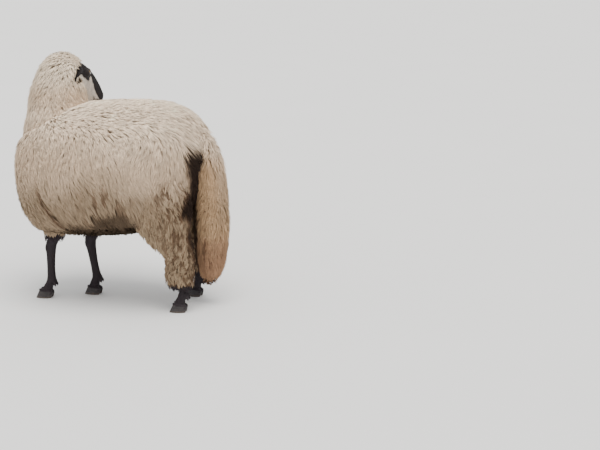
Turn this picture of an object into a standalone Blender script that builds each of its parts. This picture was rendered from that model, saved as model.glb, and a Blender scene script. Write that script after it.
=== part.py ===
# Standing long-tailed wool sheep at life size, looking back over its right shoulder.
# +X runs from the tail to the chest, +Y to the sheep's left and +Z up, in metres.
# The origin is on the ground, below the middle of the whole model.

import math
import random

import bmesh
import bpy
import numpy as np
from mathutils import Matrix, Vector

# Driving dimensions
GAP = 0.0003  # left between parts that touch

# Wool clumps: length, width, depth, step between rows, step within a row, how far the core
# stays below their tips
BODY_WOOL = (0.150, 0.116, 0.056, 0.086, 0.120, 0.030)
NECK_WOOL = (0.118, 0.086, 0.046, 0.094, 0.078, 0.024)
TAIL_WOOL = (0.130, 0.080, 0.040, 0.104, 0.082, 0.022)
THIGH_WOOL = (0.110, 0.082, 0.040, 0.096, 0.086, 0.022)
STOCKING_WOOL = (0.078, 0.058, 0.026, 0.066, 0.058, 0.014)
CUFF_WOOL = (0.060, 0.048, 0.022, 0.050, 0.050, 0.010)
POLL_WOOL = (0.052, 0.042, 0.018, 0.038, 0.034, 0.006)
CLAW_HEIGHT = 0.030
HEAD_TURN = math.radians(108)  # to the sheep's right, away from straight ahead
HEAD_TILT = math.radians(33)  # muzzle down
HEAD_ORIGIN = Vector((0.230, -0.092, 0.800))  # the middle of the back of the skull
EYE_RADIUS = 0.0145
EYE_PLACE = (0.080, 0.0375, 0.028)  # along the head, sideways, up
EAR_LENGTH = 0.108
EAR_WIDTH = 0.050
EAR_THICKNESS = 0.004
EAR_PLACE = (0.020, 0.042, 0.026)
EAR_TURN = {1: (42, -62), -1: (30, -44)}  # backward and down: the left ear lies lower
RANDOM_SEED = 11

# Where the body is parted into its nodes
FRONT_LEG_TOP = 0.215
HIND_LEG_TOP = 0.245
TAIL_TOP = 0.620
TAIL_FRONT = -0.288
TAIL_SIDE = 0.062
NECK_PLANE_POINT = (0.240, 0.0, 0.632)
NECK_PLANE_NORMAL = (0.500, 0.0, 0.866)
NAPE_PLANE = 0.004  # along the head

# Trunk outline over the fleece: x, top, bottom, half width
TRUNK_OUTLINE = (
    (-0.316, 0.540, 0.430, 0.050),
    (-0.302, 0.612, 0.370, 0.125),
    (-0.256, 0.674, 0.312, 0.184),
    (-0.167, 0.704, 0.268, 0.223),
    (-0.052, 0.707, 0.244, 0.244),
    (0.063, 0.700, 0.235, 0.248),
    (0.167, 0.690, 0.232, 0.228),
    (0.250, 0.665, 0.233, 0.192),
    (0.304, 0.624, 0.266, 0.150),
    (0.338, 0.572, 0.328, 0.106),
    (0.361, 0.505, 0.398, 0.046),
)

# Neck over the fleece: centre, side direction in degrees, half width, towards the nape, towards the throat
NECK_OUTLINE = (
    ((0.115, 0.000, 0.490), 90, 0.150, 0.120, 0.150),
    ((0.186, 0.000, 0.590), 90, 0.136, 0.116, 0.154),
    ((0.212, -0.010, 0.676), 77, 0.110, 0.100, 0.110),
    ((0.222, -0.040, 0.752), 40, 0.088, 0.088, 0.100),
    ((0.226, -0.079, 0.785), 0, 0.074, 0.074, 0.088),
    ((0.224, -0.117, 0.780), -8, 0.060, 0.060, 0.078),
)

# Head skin: along the head, top, bottom, half width
HEAD_OUTLINE = (
    (-0.022, 0.030, -0.050, 0.034),
    (0.000, 0.047, -0.074, 0.047),
    (0.035, 0.058, -0.092, 0.056),
    (0.075, 0.061, -0.088, 0.055),
    (0.105, 0.061, -0.075, 0.046),
    (0.140, 0.056, -0.063, 0.037),
    (0.172, 0.045, -0.054, 0.033),
    (0.200, 0.029, -0.049, 0.032),
    (0.219, 0.010, -0.043, 0.027),
    (0.228, -0.010, -0.032, 0.016),
)

# Tail over its wool: centre, half width, half depth
TAIL_OUTLINE = (
    ((-0.225, 0.0, 0.605), 0.040, 0.034),
    ((-0.292, 0.0, 0.575), 0.052, 0.046),
    ((-0.328, 0.0, 0.490), 0.060, 0.054),
    ((-0.338, 0.0, 0.360), 0.064, 0.061),
    ((-0.337, 0.0, 0.235), 0.060, 0.060),
    ((-0.333, 0.0, 0.140), 0.046, 0.046),
    ((-0.330, 0.0, 0.082), 0.018, 0.018),
)

# Front leg skin: height, forward of the foot, half width, forward and backward half depth
FRONT_LEG = (
    (0.380, -0.020, 0.052, 0.066, 0.066),
    (0.300, -0.012, 0.048, 0.056, 0.058),
    (0.235, -0.006, 0.036, 0.038, 0.042),
    (0.214, -0.004, 0.029, 0.031, 0.033),
    (0.203, 0.000, 0.0210, 0.0215, 0.0220),
    (0.184, 0.003, 0.0200, 0.0205, 0.0195),
    (0.160, 0.001, 0.0165, 0.017, 0.017),
    (0.115, -0.003, 0.0140, 0.0145, 0.0150),
    (0.078, -0.007, 0.0150, 0.0150, 0.0165),
    (0.060, -0.008, 0.0185, 0.0175, 0.0205),
    (0.042, 0.001, 0.0180, 0.0170, 0.0180),
    (0.026, 0.008, 0.0210, 0.0200, 0.0200),
)

# Hind leg over the thigh's wool and the stocking: height, forward of the foot, sideways,
# half width, forward, backward
HIND_LEG = (
    (0.540, 0.085, 0.010, 0.070, 0.090, 0.070),
    (0.460, 0.070, 0.018, 0.082, 0.115, 0.098),
    (0.380, 0.055, 0.018, 0.080, 0.125, 0.100),
    (0.310, 0.038, 0.014, 0.072, 0.120, 0.080),
    (0.262, 0.022, 0.008, 0.060, 0.102, 0.062),
    (0.225, 0.002, 0.003, 0.045, 0.074, 0.046),
    (0.185, -0.012, 0.000, 0.038, 0.060, 0.038),
    (0.130, -0.012, 0.000, 0.036, 0.056, 0.036),
    (0.100, -0.010, 0.000, 0.032, 0.050, 0.034),
    (0.084, -0.009, 0.000, 0.0175, 0.0190, 0.0190),
    (0.060, -0.008, 0.000, 0.0185, 0.0180, 0.0210),
    (0.042, 0.002, 0.000, 0.0180, 0.0170, 0.0180),
    (0.026, 0.009, 0.000, 0.0210, 0.0200, 0.0200),
)

# Feet on the ground: forward, left, toe turned outwards in degrees, lean of the leg above it
FEET = {
    "front_left": (0.260, 0.042, 4, -0.024),
    "front_right": (0.112, -0.046, -3, 0.014),
    "hind_left": (-0.260, 0.108, 6, 0.0),
    "hind_right": (-0.248, -0.106, -6, 0.0),
}

FLEECE = ((0.80, 0.74, 0.64), 0.95)
STAINED_WOOL = ((0.62, 0.43, 0.27), 0.95)
WHITE_FACE = ((0.70, 0.66, 0.60), 0.85)
BLACK_SKIN = ((0.035, 0.030, 0.030), 0.75)
HORN = ((0.045, 0.040, 0.038), 0.45)
EYE = ((0.05, 0.03, 0.015), 0.08)


def clear_scene():
    for item in list(bpy.data.objects):
        bpy.data.objects.remove(item)


def new_collection(name):
    group = bpy.data.collections.new(name)
    bpy.context.scene.collection.children.link(group)
    return group


def finish_of(name, look):
    colour, roughness = look
    material = bpy.data.materials.new(name)
    material.use_nodes = True
    shader = material.node_tree.nodes["Principled BSDF"]
    shader.inputs["Base Color"].default_value = (*colour, 1.0)
    shader.inputs["Roughness"].default_value = roughness
    shader.inputs["Metallic"].default_value = 0.0
    return material


def mesh_object(name, shape):
    """A new object that takes over a bmesh, with every face pointing out."""
    shape.normal_update()
    bmesh.ops.recalc_face_normals(shape, faces=shape.faces)
    mesh = bpy.data.meshes.new(name)
    shape.to_mesh(mesh)
    shape.free()
    return bpy.data.objects.new(name, mesh)


def between(stations, u):
    """A smooth curve (Catmull-Rom) through rows of numbers, read at u from 0 to 1."""
    rows = np.asarray(stations, float)
    last = len(rows) - 1
    place = min(max(u, 0.0), 1.0) * last
    i = min(int(place), last - 1)
    t = place - i
    p1, p2 = rows[i], rows[i + 1]
    p0 = rows[i - 1] if i else 2 * p1 - p2
    p3 = rows[i + 2] if i + 2 <= last else 2 * p2 - p1
    bend = 2 * p0 - 5 * p1 + 4 * p2 - p3
    return p1 + 0.5 * t * ((p2 - p0) + t * (bend + t * (3 * (p1 - p2) + p3 - p0)))


class Form:
    """A lofted body. A station is centre x, y, z, side x, y, z, half width, half up, half down."""

    def __init__(self, stations, sides, rings, squareness=2.0, inset=0.0, axis=None):
        self.stations = np.asarray(stations, float)
        self.axis = axis  # the sections stand square to it, or else to the line of centres
        self.sides = sides
        self.rings = rings
        self.squareness = squareness
        self.inset = inset

    def section(self, u):
        step = 1e-3
        row = between(self.stations, u)
        ahead = between(self.stations, min(u + step, 1.0))
        behind = between(self.stations, max(u - step, 0.0))
        along = Vector(self.axis or ahead[:3] - behind[:3]).normalized()
        side = Vector(row[3:6])
        side = (side - side.dot(along) * along).normalized()
        return Vector(row[:3]), side, along.cross(side), row[6:]

    def point(self, u, angle):
        centre, side, up, (width, rise, drop) = self.section(u)
        c, s = math.cos(angle), math.sin(angle)
        power = 2.0 / self.squareness
        across = math.copysign(abs(c) ** power, c) * max(width - self.inset, 0.004)
        height = math.copysign(abs(s) ** power, s) * max((rise if s > 0 else drop) - self.inset, 0.004)
        return centre + side * across + up * height

    def ring(self, u, sides=None):
        sides = sides or self.sides
        return [self.point(u, 2 * math.pi * k / sides) for k in range(sides)]

    def normal(self, u, angle):
        step = 0.02
        round_it = self.point(u, angle + step) - self.point(u, angle - step)
        along = self.point(min(u + step, 1.0), angle) - self.point(max(u - step, 0.0), angle)
        out = round_it.cross(along).normalized()
        return out if out.dot(self.point(u, angle) - self.section(u)[0]) > 0 else -out

    def solid(self, name):
        """The loft as one closed mesh. It joins unlike sections, so its faces are made ring by ring."""
        shape = bmesh.new()
        loops = []
        for i in range(self.rings + 1):
            loops.append([shape.verts.new(p) for p in self.ring(i / self.rings)])
        for lower, upper in zip(loops, loops[1:]):
            for k in range(self.sides):
                n = (k + 1) % self.sides
                shape.faces.new((lower[k], lower[n], upper[n], upper[k]))
        shape.faces.new(loops[0])
        shape.faces.new(loops[-1])
        return mesh_object(name, shape)


def direction(degrees):
    return (math.cos(math.radians(degrees)), math.sin(math.radians(degrees)), 0.0)


def head_axes():
    """Forward, left and up of the turned head."""
    flat = math.cos(HEAD_TILT)
    forward = Vector((math.cos(HEAD_TURN) * flat, -math.sin(HEAD_TURN) * flat, -math.sin(HEAD_TILT)))
    up = (Vector((0, 0, 1)) + math.sin(HEAD_TILT) * forward).normalized()
    return forward, up.cross(forward), up


def on_head(along, sideways, height):
    forward, left, up = head_axes()
    return HEAD_ORIGIN + forward * along + left * sideways + up * height


def head_matrix(place, towards=1):
    """Places a shape on the head: its X forward, Y left (or right where towards is -1), Z up."""
    forward, left, up = head_axes()
    turn = Matrix((forward, left * towards, up)).transposed().to_4x4()
    along, sideways, height = place
    return Matrix.Translation(on_head(along, sideways * towards, height)) @ turn


def trunk_form(inset):
    stations = []
    for x, top, bottom, width in TRUNK_OUTLINE:
        middle = 0.5 * (top + bottom)
        stations.append((x, 0, middle, 0, 1, 0, width, top - middle, middle - bottom))
    return Form(stations, sides=14, rings=12, squareness=2.25, inset=inset, axis=(1, 0, 0))


def neck_form(inset):
    stations = [(*c, *direction(turn), w, nape, throat) for c, turn, w, nape, throat in NECK_OUTLINE]
    return Form(stations, sides=16, rings=10, inset=inset)


def head_form():
    left = head_axes()[1]
    stations = []
    for along, top, bottom, width in HEAD_OUTLINE:
        middle = 0.5 * (top + bottom)
        centre = on_head(along, 0, middle)
        stations.append((*centre, *left, width, top - middle, middle - bottom))
    return Form(stations, sides=20, rings=18)


def tail_form(inset):
    stations = [(*centre, 0, 1, 0, width, depth, depth) for centre, width, depth in TAIL_OUTLINE]
    return Form(stations, sides=12, rings=12, inset=inset)


def leg_form(name, cored=False):
    """The leg above one foot, from the top down. Its core is thinner where it carries wool."""
    forward, left, _, lean = FEET[name]
    if name.startswith("front"):
        stations = []
        for z, x, width, front, back in FRONT_LEG:
            shift = x + lean * min(z / 0.2, 1.3)
            thin = CUFF_WOOL[-1] if cored and z > 0.21 else 0.0
            half_sizes = (width - thin, front - thin, back - thin)
            stations.append((forward + shift, left, z, 0, 1, 0, *half_sizes))
        return Form(stations, sides=12, rings=18, axis=(0, 0, -1))
    outward = math.copysign(1, left)
    stations = []
    for z, x, y, width, front, back in HIND_LEG:
        thin = (THIGH_WOOL if z > 0.24 else STOCKING_WOOL)[-1] if cored and z > 0.09 else 0.0
        half_sizes = (width - thin, front - thin, back - thin)
        stations.append((forward + x, left + y * outward, z, 0, 1, 0, *half_sizes))
    return Form(stations, sides=12, rings=24, axis=(0, 0, -1))


def box(name, low, high):
    """A closed box between two corners."""
    shape = bmesh.new()
    bmesh.ops.create_cube(shape, size=1.0)
    low, high = Vector(low), Vector(high)
    for vertex in shape.verts:
        vertex.co = Vector(a + (b - a) * (c + 0.5) for a, b, c in zip(low, high, vertex.co))
    return mesh_object(name, shape)


def slab(name, point, normal, depth=1.2):
    """A wide block that starts at a plane and runs along its normal."""
    shape = bmesh.new()
    bmesh.ops.create_cube(shape, size=2 * depth, matrix=Matrix.Translation((0, 0, depth)))
    turn = Vector(normal).to_track_quat("Z", "Y").to_matrix().to_4x4()
    bmesh.ops.transform(shape, verts=shape.verts, matrix=Matrix.Translation(point) @ turn)
    return mesh_object(name, shape)


def largest_surface(mesh):
    """Keeps the largest closed surface of a mesh."""
    shape = bmesh.new()
    shape.from_mesh(mesh)
    left = set(shape.faces)
    surfaces = []
    while left:
        found = {left.pop()}
        edge_of_search = list(found)
        while edge_of_search:
            face = edge_of_search.pop()
            near = {other for edge in face.edges for other in edge.link_faces} & left
            left -= near
            found |= near
            edge_of_search += near
        surfaces.append(found)
    keep = max(surfaces, key=lambda faces: sum(face.calc_area() for face in faces))
    dropped = [face for found in surfaces if found is not keep for face in found]
    bmesh.ops.delete(shape, geom=dropped, context="FACES")
    shape.to_mesh(mesh)
    shape.free()


def combined(base, operation, others, solver="MANIFOLD"):
    """Applies one Boolean with all the others to the base, and removes them."""
    group = new_collection("operands")
    for other in others:
        group.objects.link(other)
    bpy.context.scene.collection.objects.link(base)
    boolean = base.modifiers.new("join", "BOOLEAN")
    boolean.operation = operation
    boolean.operand_type = "COLLECTION"
    boolean.collection = group
    boolean.solver = solver
    graph = bpy.context.evaluated_depsgraph_get()
    mesh = bpy.data.meshes.new_from_object(base.evaluated_get(graph))
    name = base.name
    for item in (base, *others):
        bpy.data.objects.remove(item)
    bpy.data.collections.remove(group)
    largest_surface(mesh)
    return bpy.data.objects.new(name, mesh)


def copy_of(item, name):
    return bpy.data.objects.new(name, item.data.copy())


def ellipsoid(name, matrix, radii, segments=10, rings=7):
    shape = bmesh.new()
    bmesh.ops.create_uvsphere(shape, u_segments=segments, v_segments=rings, radius=1.0)
    bmesh.ops.transform(shape, verts=shape.verts, matrix=matrix @ Matrix.Diagonal((*radii, 1.0)))
    return mesh_object(name, shape)


def tube(name, points, radius, sides=2):
    """A closed tube along points, from a curve with filled caps."""
    curve = bpy.data.curves.new(name, "CURVE")
    curve.dimensions = "3D"
    curve.bevel_depth = radius
    curve.bevel_resolution = sides
    curve.use_fill_caps = True
    spline = curve.splines.new("POLY")
    spline.points.add(len(points) - 1)
    for target, point in zip(spline.points, points):
        target.co = (*point, 1.0)
    guide = bpy.data.objects.new(name, curve)
    bpy.context.scene.collection.objects.link(guide)
    graph = bpy.context.evaluated_depsgraph_get()
    mesh = bpy.data.meshes.new_from_object(guide.evaluated_get(graph))
    bpy.data.objects.remove(guide)
    shape = bmesh.new()
    shape.from_mesh(mesh)
    bmesh.ops.remove_doubles(shape, verts=shape.verts, dist=1e-5)
    return mesh_object(name, shape)


def dewclaws(name):
    """Two small horny knobs behind the fetlock."""
    forward, left = FEET[name][:2]
    back, height, apart = 0.028, 0.056, 0.0105
    made = []
    for side in (-1, 1):
        place = Matrix.Translation((forward - back, left + side * apart, height))
        made.append(ellipsoid(f"dewclaw_{name}", place, (0.007, 0.0055, 0.009), segments=6, rings=4))
    return made


def claw(name, inner):
    """One half of the hoof: a flat sole, a pointed toe and a sloping front wall."""
    forward, left, turn, _ = FEET[name]
    length, width, apart, toe_slope = 0.056, 0.0205, 0.0118, 0.010
    shape = bmesh.new()
    bmesh.ops.create_cone(
        shape, cap_ends=True, segments=12, radius1=1.0, radius2=0.84, depth=1.0,
        matrix=Matrix.Translation((0, 0, 0.5)),
    )
    for vertex in shape.verts:
        x, y, z = vertex.co
        toe = 1.0 - 0.38 * max(x, 0.0) ** 2
        vertex.co = (x * length / 2 - z * toe_slope, y * toe * width / 2, z * CLAW_HEIGHT)
    side = math.copysign(1, left) * (-1 if inner else 1)
    splay = Matrix.Rotation(math.radians(3 * side), 4, "Z")
    turned = Matrix.Rotation(math.radians(turn), 4, "Z")
    place = Matrix.Translation((forward + 0.012, left, 0))
    bmesh.ops.transform(
        shape, verts=shape.verts,
        matrix=place @ turned @ Matrix.Translation((0, side * apart, 0)) @ splay,
    )
    return mesh_object(f"claw_{name}_{'inner' if inner else 'outer'}", shape)


def ear(towards, grow=0.0):
    """A leaf-shaped cup: a bent grid with a wall, rolled at its root."""
    shape = bmesh.new()
    bmesh.ops.create_grid(shape, x_segments=8, y_segments=6, size=1.0)
    for vertex in shape.verts:
        t = 0.5 * (vertex.co.x + 1)
        v = vertex.co.y
        half = 0.5 * EAR_WIDTH * (0.42 + 1.25 * t) * math.sqrt(max(1 - t ** 2.4, 0.02))
        roll = math.radians(115 - 75 * t)
        bent = half / roll
        across = bent * math.sin(roll * v)
        cup = bent * (1 - math.cos(roll * v))
        vertex.co = (across, t * EAR_LENGTH, cup - 0.012 * t * t)
    item = mesh_object(f"ear_{'left' if towards > 0 else 'right'}", shape)
    wall = item.modifiers.new("wall", "SOLIDIFY")
    wall.thickness = EAR_THICKNESS
    wall.offset = 0.0
    wall.use_even_offset = False
    bpy.context.scene.collection.objects.link(item)
    graph = bpy.context.evaluated_depsgraph_get()
    mesh = bpy.data.meshes.new_from_object(item.evaluated_get(graph))
    name = item.name
    bpy.data.objects.remove(item)
    backward = Matrix.Rotation(math.radians(EAR_TURN[towards][0]), 4, "Z")
    droop = Matrix.Rotation(math.radians(EAR_TURN[towards][1]), 4, "X")
    cup_forward = Matrix.Rotation(math.radians(92), 4, "Y")
    mesh.transform(head_matrix(EAR_PLACE, towards) @ backward @ droop @ cup_forward)
    if towards < 0:
        mesh.flip_normals()
    normals = [vertex.normal.copy() for vertex in mesh.vertices]
    for vertex, normal in zip(mesh.vertices, normals):
        vertex.co += normal * grow
    return bpy.data.objects.new(name, mesh)


def lids(towards):
    """A swollen rim round the eye, higher over it than under it."""
    points = []
    count = 14
    along, sideways, height = EYE_PLACE
    for k in range(count + 1):
        angle = 2 * math.pi * k / count
        x = 0.0155 * math.cos(angle)
        z = 0.0095 * math.sin(angle) + 0.0015
        out = 0.0115 - 18.0 * x * x
        points.append(on_head(along + x, (sideways + out) * towards, height + z))
    return tube("lids", points, 0.0030)


def nostril(towards):
    place = head_matrix((0.2245, 0.0165, -0.002), towards)
    turn = Matrix.Rotation(math.radians(38), 4, "Y") @ Matrix.Rotation(math.radians(28), 4, "Z")
    return ellipsoid("nostril", place @ turn, (0.0090, 0.0032, 0.0062), segments=8, rings=5)


def mouth_line():
    """The cut between the lips, from one corner round the muzzle to the other."""
    points = []
    count = 12
    for k in range(count + 1):
        t = 2 * k / count - 1
        along = 0.238 - 0.058 * t * t
        sideways = 0.0335 * math.copysign(abs(t) ** 0.55, t)
        points.append(on_head(along, sideways, -0.0245 - 0.004 * t * t))
    return tube("mouth", points, 0.0016, sides=1)


def lip_roll(height, swell):
    """A soft roll above or below the mouth."""
    place = head_matrix((0.207, 0.0, height))
    return ellipsoid("lip", place, (0.030, 0.0305, swell), segments=12, rings=8)


def places_on(form, row_step, round_step, draw, first, last):
    """Staggered places on a form, about one step apart: u, angle."""
    fine = [form.section(first + (last - first) * i / 40)[0] for i in range(41)]
    length = sum((b - a).length for a, b in zip(fine, fine[1:]))
    rows = max(2, round(length / row_step))
    for i in range(rows):
        u = first + (last - first) * (i + 0.5) / rows
        ring = form.ring(u, 36)
        girth = sum((b - a).length for a, b in zip(ring, ring[1:] + ring[:1]))
        count = max(3, round(girth / round_step))
        for k in range(count):
            shift = draw.uniform(-0.18, 0.18)
            angle = 2 * math.pi * (k + 0.5 * (i % 2) + shift) / count
            yield min(max(u + draw.uniform(-0.12, 0.12) / rows, 0.0), 1.0), angle


def lie_of(point, normal, flow):
    """The way the wool lies on a surface: the flow without its part along the normal."""
    pull = Vector(flow(point))
    pull -= pull.dot(normal) * normal
    if pull.length < 1e-3:
        pull = normal.orthogonal()
    return pull.normalized()


def clump(point, normal, lie, size, draw):
    """One rounded lock of wool, from a root sunk in the core to a blunt tip at the outline."""
    length, width, depth = (value * draw.uniform(0.88, 1.10) for value in size)
    across = normal.cross(lie)
    sway = draw.uniform(-0.10, 0.10) * length
    shape = bmesh.new()
    bmesh.ops.create_uvsphere(shape, u_segments=6, v_segments=4, radius=1.0)
    for vertex in shape.verts:
        x, y, t = vertex.co
        narrow = 1.0 + 0.06 * t
        height = depth * (0.20 * t - 0.55) + 0.60 * depth * y
        vertex.co = (
            point
            + lie * (0.5 * length * t)
            + across * (0.5 * width * x * narrow + sway * t * t)
            + normal * height
        )
    return mesh_object("clump", shape)


def clumps_on(form, wool, flow, seed, first=0.0, last=1.0, wanted=None):
    """Clumps over part of a form, their tips at its outline."""
    draw = random.Random(RANDOM_SEED + seed)
    *size, row_step, round_step, _ = wool
    made = []
    for u, angle in places_on(form, row_step, round_step, draw, first, last):
        point, normal = form.point(u, angle), form.normal(u, angle)
        if wanted is None or wanted(point):
            made.append(clump(point, normal, lie_of(point, normal, flow), size, draw))
    return made


def body_flow(point):
    """Down the flanks and a little towards the tail, parted along the spine."""
    return (-0.35, 0.7 * math.tanh(point.y / 0.05), -1.0)


def neck_flow(point):
    """Down the neck and back over the shoulder."""
    return (-0.15, 0.35, -1.0)


def hanging(point):
    return (-0.05, 0.0, -1.0)


def poll_flow(point):
    """Over the forehead, towards the face."""
    return head_axes()[0]


def clear_of_neck(point):
    return not (point.x > 0.10 and point.z > 0.60 and abs(point.y) < 0.10)


def leg_pieces(name):
    """The leg's core and its wool, on the sides that show."""
    form = leg_form(name)
    seed = 10 * (1 + list(FEET).index(name))
    if name.startswith("front"):
        wool = clumps_on(form, CUFF_WOOL, hanging, seed, 0.18, 0.33)
    else:
        outward = math.copysign(1, form.stations[0][1])

        def clear_of_tail(point):
            return point.y * outward > 0.096 or point.x > -0.235

        wool = clumps_on(form, THIGH_WOOL, hanging, seed, 0.14, 0.36, clear_of_tail)
        wool += clumps_on(form, STOCKING_WOOL, hanging, seed + 1, 0.38, 0.74, clear_of_tail)
    return [leg_form(name, cored=True).solid(f"leg_{name}"), *wool]


def whole_body():
    """Trunk, neck, legs and tail with their wool, as one body."""
    trunk, neck, tail = trunk_form(0.0), neck_form(0.0), tail_form(0.0)
    pieces = [neck_form(NECK_WOOL[-1]).solid("neck"), tail_form(TAIL_WOOL[-1]).solid("tail")]
    pieces += clumps_on(trunk, BODY_WOOL, body_flow, 1, 0.02, 1.0, clear_of_neck)
    pieces += clumps_on(neck, NECK_WOOL, neck_flow, 2, 0.22, 0.96)
    pieces += clumps_on(tail, TAIL_WOOL, hanging, 3, 0.12, 0.94)
    for name in FEET:
        pieces += leg_pieces(name)
    return combined(trunk_form(BODY_WOOL[-1]).solid("body"), "UNION", pieces)


def leg(name):
    core, *wool = leg_pieces(name)
    whole = combined(core, "UNION", wool + dewclaws(name))
    return combined(whole, "INTERSECT", [leg_block(name)])


def leg_block(name):
    """The space of one leg node."""
    low = CLAW_HEIGHT + GAP
    x, y = FEET[name][:2]
    inner, outer = sorted((math.copysign(TAIL_SIDE + GAP, y), math.copysign(0.3, y)))
    if name.startswith("front"):
        return box("block", (x - 0.15, y - 0.1, low), (x + 0.15, y + 0.1, FRONT_LEG_TOP))
    return box("block", (x - 0.2, inner, low), (x + 0.2, outer, HIND_LEG_TOP))


def tail_block(grow):
    side = TAIL_SIDE - GAP + grow
    return box("block", (-0.6, -side, -0.1), (TAIL_FRONT + grow, side, TAIL_TOP + grow))


def neck_block(grow):
    normal = Vector(NECK_PLANE_NORMAL).normalized()
    return slab("block", Vector(NECK_PLANE_POINT) - normal * grow, normal)


def head_block(grow):
    forward = head_axes()[0]
    return slab("block", on_head(NAPE_PLANE, 0, 0) - forward * grow, forward)


def on_poll(point):
    return (point - HEAD_ORIGIN).dot(head_axes()[2]) > -0.004


def head_solid():
    """The skull's skin with lids and lips, opened for the eyes, nostrils, mouth and ears."""
    skin = head_form().solid("head")
    added = [lids(1), lids(-1), lip_roll(-0.016, 0.0125), lip_roll(-0.033, 0.0100)]
    added += clumps_on(head_form(), POLL_WOOL, poll_flow, 4, 0.02, 0.26, on_poll)
    joined = combined(skin, "UNION", added)
    cuts = [mouth_line()]
    for towards in (1, -1):
        eye_socket = head_matrix(EYE_PLACE, towards)
        cuts.append(ellipsoid("socket", eye_socket, [EYE_RADIUS + GAP] * 3, segments=12, rings=9))
        cuts.append(nostril(towards))
        cuts.append(ear(towards, grow=2.5 * GAP))
    return combined(joined, "DIFFERENCE", cuts)


def eye(towards):
    name = f"eye_{'left' if towards > 0 else 'right'}"
    return ellipsoid(name, head_matrix(EYE_PLACE, towards), [EYE_RADIUS] * 3, segments=12, rings=9)


def main():
    clear_scene()
    sheep = new_collection("sheep")
    body = whole_body()
    made = []
    for name in FEET:
        made.append((leg(name), BLACK_SKIN if name.startswith("front") else FLEECE))
        made += [(claw(name, inner), HORN) for inner in (True, False)]
    made.append((combined(copy_of(body, "tail"), "INTERSECT", [tail_block(0.0)]), STAINED_WOOL))
    neck = combined(copy_of(body, "neck"), "INTERSECT", [neck_block(0.0)])
    around = [head_block(GAP), ear(1, grow=2.5 * GAP), ear(-1, grow=2.5 * GAP)]
    made.append((combined(neck, "DIFFERENCE", around), FLEECE))
    body.name = "torso"
    under_front = box("block", (0.0, -0.4, -0.1), (0.5, 0.4, FRONT_LEG_TOP + GAP))
    under_hind = box("block", (-0.5, -0.4, -0.1), (0.0, 0.4, HIND_LEG_TOP + GAP))
    blocks = [under_front, under_hind, tail_block(GAP), neck_block(GAP)]
    made.append((combined(body, "DIFFERENCE", blocks), FLEECE))
    made.append((combined(head_solid(), "INTERSECT", [head_block(0.0)]), WHITE_FACE))
    for towards in (1, -1):
        made.append((ear(towards), BLACK_SKIN))
        made.append((eye(towards), EYE))

    for item, look in made:
        sheep.objects.link(item)
        item.data.materials.clear()
        item.data.materials.append(finish_of(item.name, look))
        item.data.shade_smooth()
        item.data.set_sharp_from_angle(angle=math.radians(50))
    corners = [vertex.co for item, _ in made for vertex in item.data.vertices]
    low = Vector(min(corner[axis] for corner in corners) for axis in range(3))
    high = Vector(max(corner[axis] for corner in corners) for axis in range(3))
    middle = Vector((0.5 * (low.x + high.x), 0.5 * (low.y + high.y), 0.0))
    for item, _ in made:
        item.location = -middle
    print("origin moved by", tuple(round(v, 6) for v in middle))


main()
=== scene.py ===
import math

import bmesh
import bpy
import numpy as np
from mathutils import Matrix, Vector
from mathutils.bvhtree import BVHTree


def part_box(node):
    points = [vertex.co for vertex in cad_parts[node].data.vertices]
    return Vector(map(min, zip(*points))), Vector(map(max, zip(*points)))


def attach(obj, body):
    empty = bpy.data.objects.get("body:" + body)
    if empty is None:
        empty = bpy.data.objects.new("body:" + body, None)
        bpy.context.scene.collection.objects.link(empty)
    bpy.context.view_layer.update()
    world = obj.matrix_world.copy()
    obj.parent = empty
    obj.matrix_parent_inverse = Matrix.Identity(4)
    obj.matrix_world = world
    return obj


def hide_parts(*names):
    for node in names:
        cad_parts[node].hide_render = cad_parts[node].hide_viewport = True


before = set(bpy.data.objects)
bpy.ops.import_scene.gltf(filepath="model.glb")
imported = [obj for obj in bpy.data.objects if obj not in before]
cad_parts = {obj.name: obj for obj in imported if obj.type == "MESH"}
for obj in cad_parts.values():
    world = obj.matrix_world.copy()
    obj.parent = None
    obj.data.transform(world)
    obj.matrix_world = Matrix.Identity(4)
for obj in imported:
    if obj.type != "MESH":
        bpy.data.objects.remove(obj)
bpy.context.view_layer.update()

# The sheep's body over its coat, in metres: +X to the chest, +Y to its left, +Z up
trunkShape = {
    "outline": (  # x, top, bottom, half width
        (-0.316, 0.540, 0.430, 0.050),
        (-0.302, 0.612, 0.370, 0.125),
        (-0.256, 0.674, 0.312, 0.184),
        (-0.167, 0.704, 0.268, 0.223),
        (-0.052, 0.707, 0.244, 0.244),
        (0.063, 0.700, 0.235, 0.248),
        (0.167, 0.690, 0.232, 0.228),
        (0.250, 0.665, 0.233, 0.192),
        (0.304, 0.624, 0.266, 0.150),
        (0.338, 0.572, 0.328, 0.106),
        (0.361, 0.505, 0.398, 0.046),
    ),
    "squareness": 2.25,
    "depth": ((0.0, 0.05, 0.12, 0.80, 0.92, 1.0),  # of the fleece over the skin, by place along the form
              (0.012, 0.017, 0.020, 0.020, 0.017, 0.012)),
    "middle": 0.020,  # the skin's ends are drawn in towards it
    "draw": 0.958,
}
neckShape = {
    "outline": (  # centre, side direction, half width, to the nape, to the throat
        ((0.115, 0.000, 0.490), 90, 0.150, 0.120, 0.150),
        ((0.186, 0.000, 0.590), 90, 0.136, 0.116, 0.154),
        ((0.212, -0.010, 0.676), 77, 0.110, 0.100, 0.110),
        ((0.222, -0.040, 0.752), 40, 0.088, 0.088, 0.100),
        ((0.226, -0.079, 0.785), 0, 0.074, 0.074, 0.088),
        ((0.224, -0.117, 0.780), -8, 0.060, 0.060, 0.078),
    ),
    "depth": ((0.0, 0.60, 0.80, 1.0), (0.018, 0.018, 0.015, 0.010)),  # thinner over the poll
}
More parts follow.
